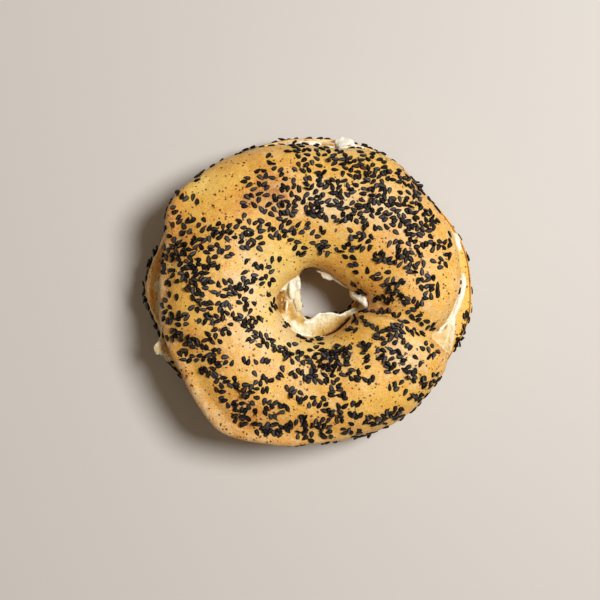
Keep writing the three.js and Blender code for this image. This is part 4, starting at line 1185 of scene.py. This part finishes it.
def cream_layer():
    """The layer between the halves, scraped lower in the hole, with what shows of it shaped and coloured."""
    across, level = cream_section()
    middle, half = (LOWER_CUT + UPPER_CUT) / 2, (UPPER_CUT - LOWER_CUT) / 2 + PRESSED
    height = middle + half * level
    points = at_height(ring_places(CREAM_RIM, CREAM_HOLE, UPPER_HOLE_MIDDLE, across, around=720), height)
    x, y = points[..., 0] - UPPER_HOLE_MIDDLE[0], points[..., 1] - UPPER_HOLE_MIDDLE[1]
    in_hole = np.clip(0.5 - outside(x, y, UPPER_HOLE) / SCRAPED_SLOPE, 0, 1)
    upward = np.clip((height - middle) / half, 0, 1)
    px, py = ragged_pixels(points)
    strokes = painted(px, py, RAISED, sharp=3) - painted(px, py, SUNK, sharp=2)
    shaped = (strokes + bumpy(points * (1, 1, 0), CREAM_WAVES)) * (in_hole > 0)
    points[..., 2] += upward * (shaped - (UPPER_CUT - SCRAPED_TOP) * in_hole)
    on_edge = np.abs(height - middle) < half
    points += swelling(points, bumpy(points, CREAM_RAGGED) * on_edge)
    outer_edge = (np.abs(height - middle) < 0.95 * half) & (across > 0.5)
    edge_white = EDGE_WHITE - LEFT_LESS_WHITE * near_angle(points, *LESS_WHITE)
    return ring_object("cream_layer", points, [cream_finish],
                       cream_paint(points, np.where(outer_edge, edge_white, TOP_WHITE)))


def cream_paint(points, least):
    """How white and how toasted each point is, the toasting with painted shade in places, from the strokes
    that show in the picture.
    """
    px, py = ragged_pixels(points)
    return {"white": np.maximum(painted(px, py, WHITE), least),
            "toast_and_shading": LEAST_TOAST + painted(px, py, TOASTED_AND_SHADED, sharp=2)}


def curve_through(path, count):
    """Points on a smooth curve through the path's points."""
    path = np.array(path, float)
    padded = np.concatenate([[2 * path[0] - path[1]], path, [2 * path[-1] - path[-2]]])
    points = []
    for u in np.linspace(0, len(path) - 1, count):
        i = min(int(u), len(path) - 2)
        t = u - i
        p0, p1, p2, p3 = padded[i:i + 4]
        points.append(0.5 * (2 * p1 + (p2 - p0) * t + (2 * p0 - 5 * p1 + 4 * p2 - p3) * t**2
                             + (3 * p1 - p0 - 3 * p2 + p3) * t**3))
    return np.array(points)


def ribbon(path, half_width, half_height):
    """A round-ended ribbon along a path: its points and faces."""
    count, sides = 40, 16
    middles = curve_through(path, count)
    beside = np.cross(np.gradient(middles, axis=0), (0, 0, 1))
    beside /= np.linalg.norm(beside, axis=1, keepdims=True)
    fullness = (1 - np.abs(np.linspace(-1, 1, count)) ** 3) ** 0.5
    fullness[[0, -1]] = 0.05
    turn = np.linspace(0, TURN, sides, endpoint=False)
    points = (middles[:, None] + (fullness[:, None] * np.cos(turn))[..., None] * half_width * beside[:, None]
              + (fullness[:, None] * np.sin(turn))[..., None] * half_height * np.array([0, 0, 1]))
    faces = []
    for start in range(0, (count - 1) * sides, sides):
        for k in range(sides):
            k2 = (k + 1) % sides
            faces.append((start + k, start + k2, start + sides + k2, start + sides + k))
    faces += [tuple(range(sides))[::-1], tuple(range((count - 1) * sides, count * sides))]
    return points.reshape(-1, 3), faces


def melted(made):
    """The mesh of an object whose parts are melted together and softened. The object is removed."""
    remesh = made.modifiers.new("joined", "REMESH")
    remesh.mode = "VOXEL"
    remesh.voxel_size = 0.32 * MM
    made.modifiers.new("softened", "SMOOTH").iterations = 3
    bpy.context.view_layer.update()
    mesh = bpy.data.meshes.new_from_object(made.evaluated_get(bpy.context.evaluated_depsgraph_get()))
    bpy.data.objects.remove(made)
    return mesh


def squeezed_out():
    """The ribbons and blobs of cream at the seam and in the hole."""
    all_points, all_faces = [], []
    for path, half_width, half_height in RIBBONS:
        part_points, part_faces = ribbon([placed_at(*at) for at in path], half_width, half_height)
        start = sum(len(part) for part in all_points)
        all_points.append(part_points)
        all_faces += [tuple(start + v for v in face) for face in part_faces]
    mesh = melted(mesh_object("cream_ribbons", np.concatenate(all_points), all_faces, [cream_finish]))
    points = np.array([v.co for v in mesh.vertices]) / MM
    normals = np.array([v.normal for v in mesh.vertices])
    points = points + normals * bumpy(points, SQUEEZED_LUMPS)[:, None]
    paint = cream_paint(points, least=0.9)
    paint["white"] = paint["white"] * (1 - painted(*ragged_pixels(points, amount=1.5), BARE))
    faces = [tuple(p.vertices) for p in mesh.polygons]
    return mesh_object("cream_squeezed_out", points, faces, [cream_finish], paint)


# The camera, the floor and the light

def camera():
    data = bpy.data.cameras.new("camera")
    data.sensor_width = SENSOR
    data.lens = FOCAL_PIXELS / PICTURE * SENSOR
    data.clip_start = 0.05
    data.clip_end = 5
    made = new_object("camera", data)
    made.location = Vector(CAMERA_AT) * MM
    bpy.context.scene.camera = made


def floor():
    half = 2000
    corners = [(-half, -half, 0), (half, -half, 0), (half, half, 0), (-half, half, 0)]
    finish = Shader("pale_floor").surface_of((*linear(208, 204, 200), 1), roughness=0.55)
    made = mesh_object("floor", corners, [(0, 1, 2, 3)], [finish])


def lamp():
    """One soft lamp from the right. Its size and distance are in metres."""
    data = bpy.data.lights.new("key", "AREA")
    data.shape = "DISK"
    data.size = 0.44
    data.energy = 16.6
    data.color = (1.0, 0.985, 0.96)
    made = new_object("key", data)
    azimuth, elevation, distance = math.radians(20), math.radians(64), 1.3
    toward = Vector((math.cos(azimuth) * math.cos(elevation), math.sin(azimuth) * math.cos(elevation),
                     math.sin(elevation)))
    made.location = toward * distance
    made.rotation_mode = "QUATERNION"
    made.rotation_quaternion = toward.to_track_quat("Z", "Y")


def room_light():
    """The dim warm light that comes from all round."""
    world = bpy.data.worlds.new("studio")
    world.use_nodes = True
    background = next(n for n in world.node_tree.nodes if n.type == "BACKGROUND")
    background.inputs["Color"].default_value = (1.0, 0.82, 0.62, 1)
    background.inputs["Strength"].default_value = 0.175
    bpy.context.scene.world = world
    bpy.context.scene.view_settings.view_transform = "Standard"


camera()
floor()
lamp()
room_light()

upper = upper_half()
lower = lower_half()
layer = cream_layer()
ribbons = squeezed_out()
upper_seeds = upper_sesame(upper)
lower_seeds = lower_sesame(lower)

for piece, node, slot in [(upper, "upper_half", "crust_upper"), (upper_seeds, None, "crust_upper"),
                          (lower, "lower_half", "crust_lower"), (lower_seeds, None, "crust_lower"),
                          (layer, "cream_cheese", "cream"), (ribbons, "cream_cheese", "cream")]:
    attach(piece, "root")
    if node:
        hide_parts(node)
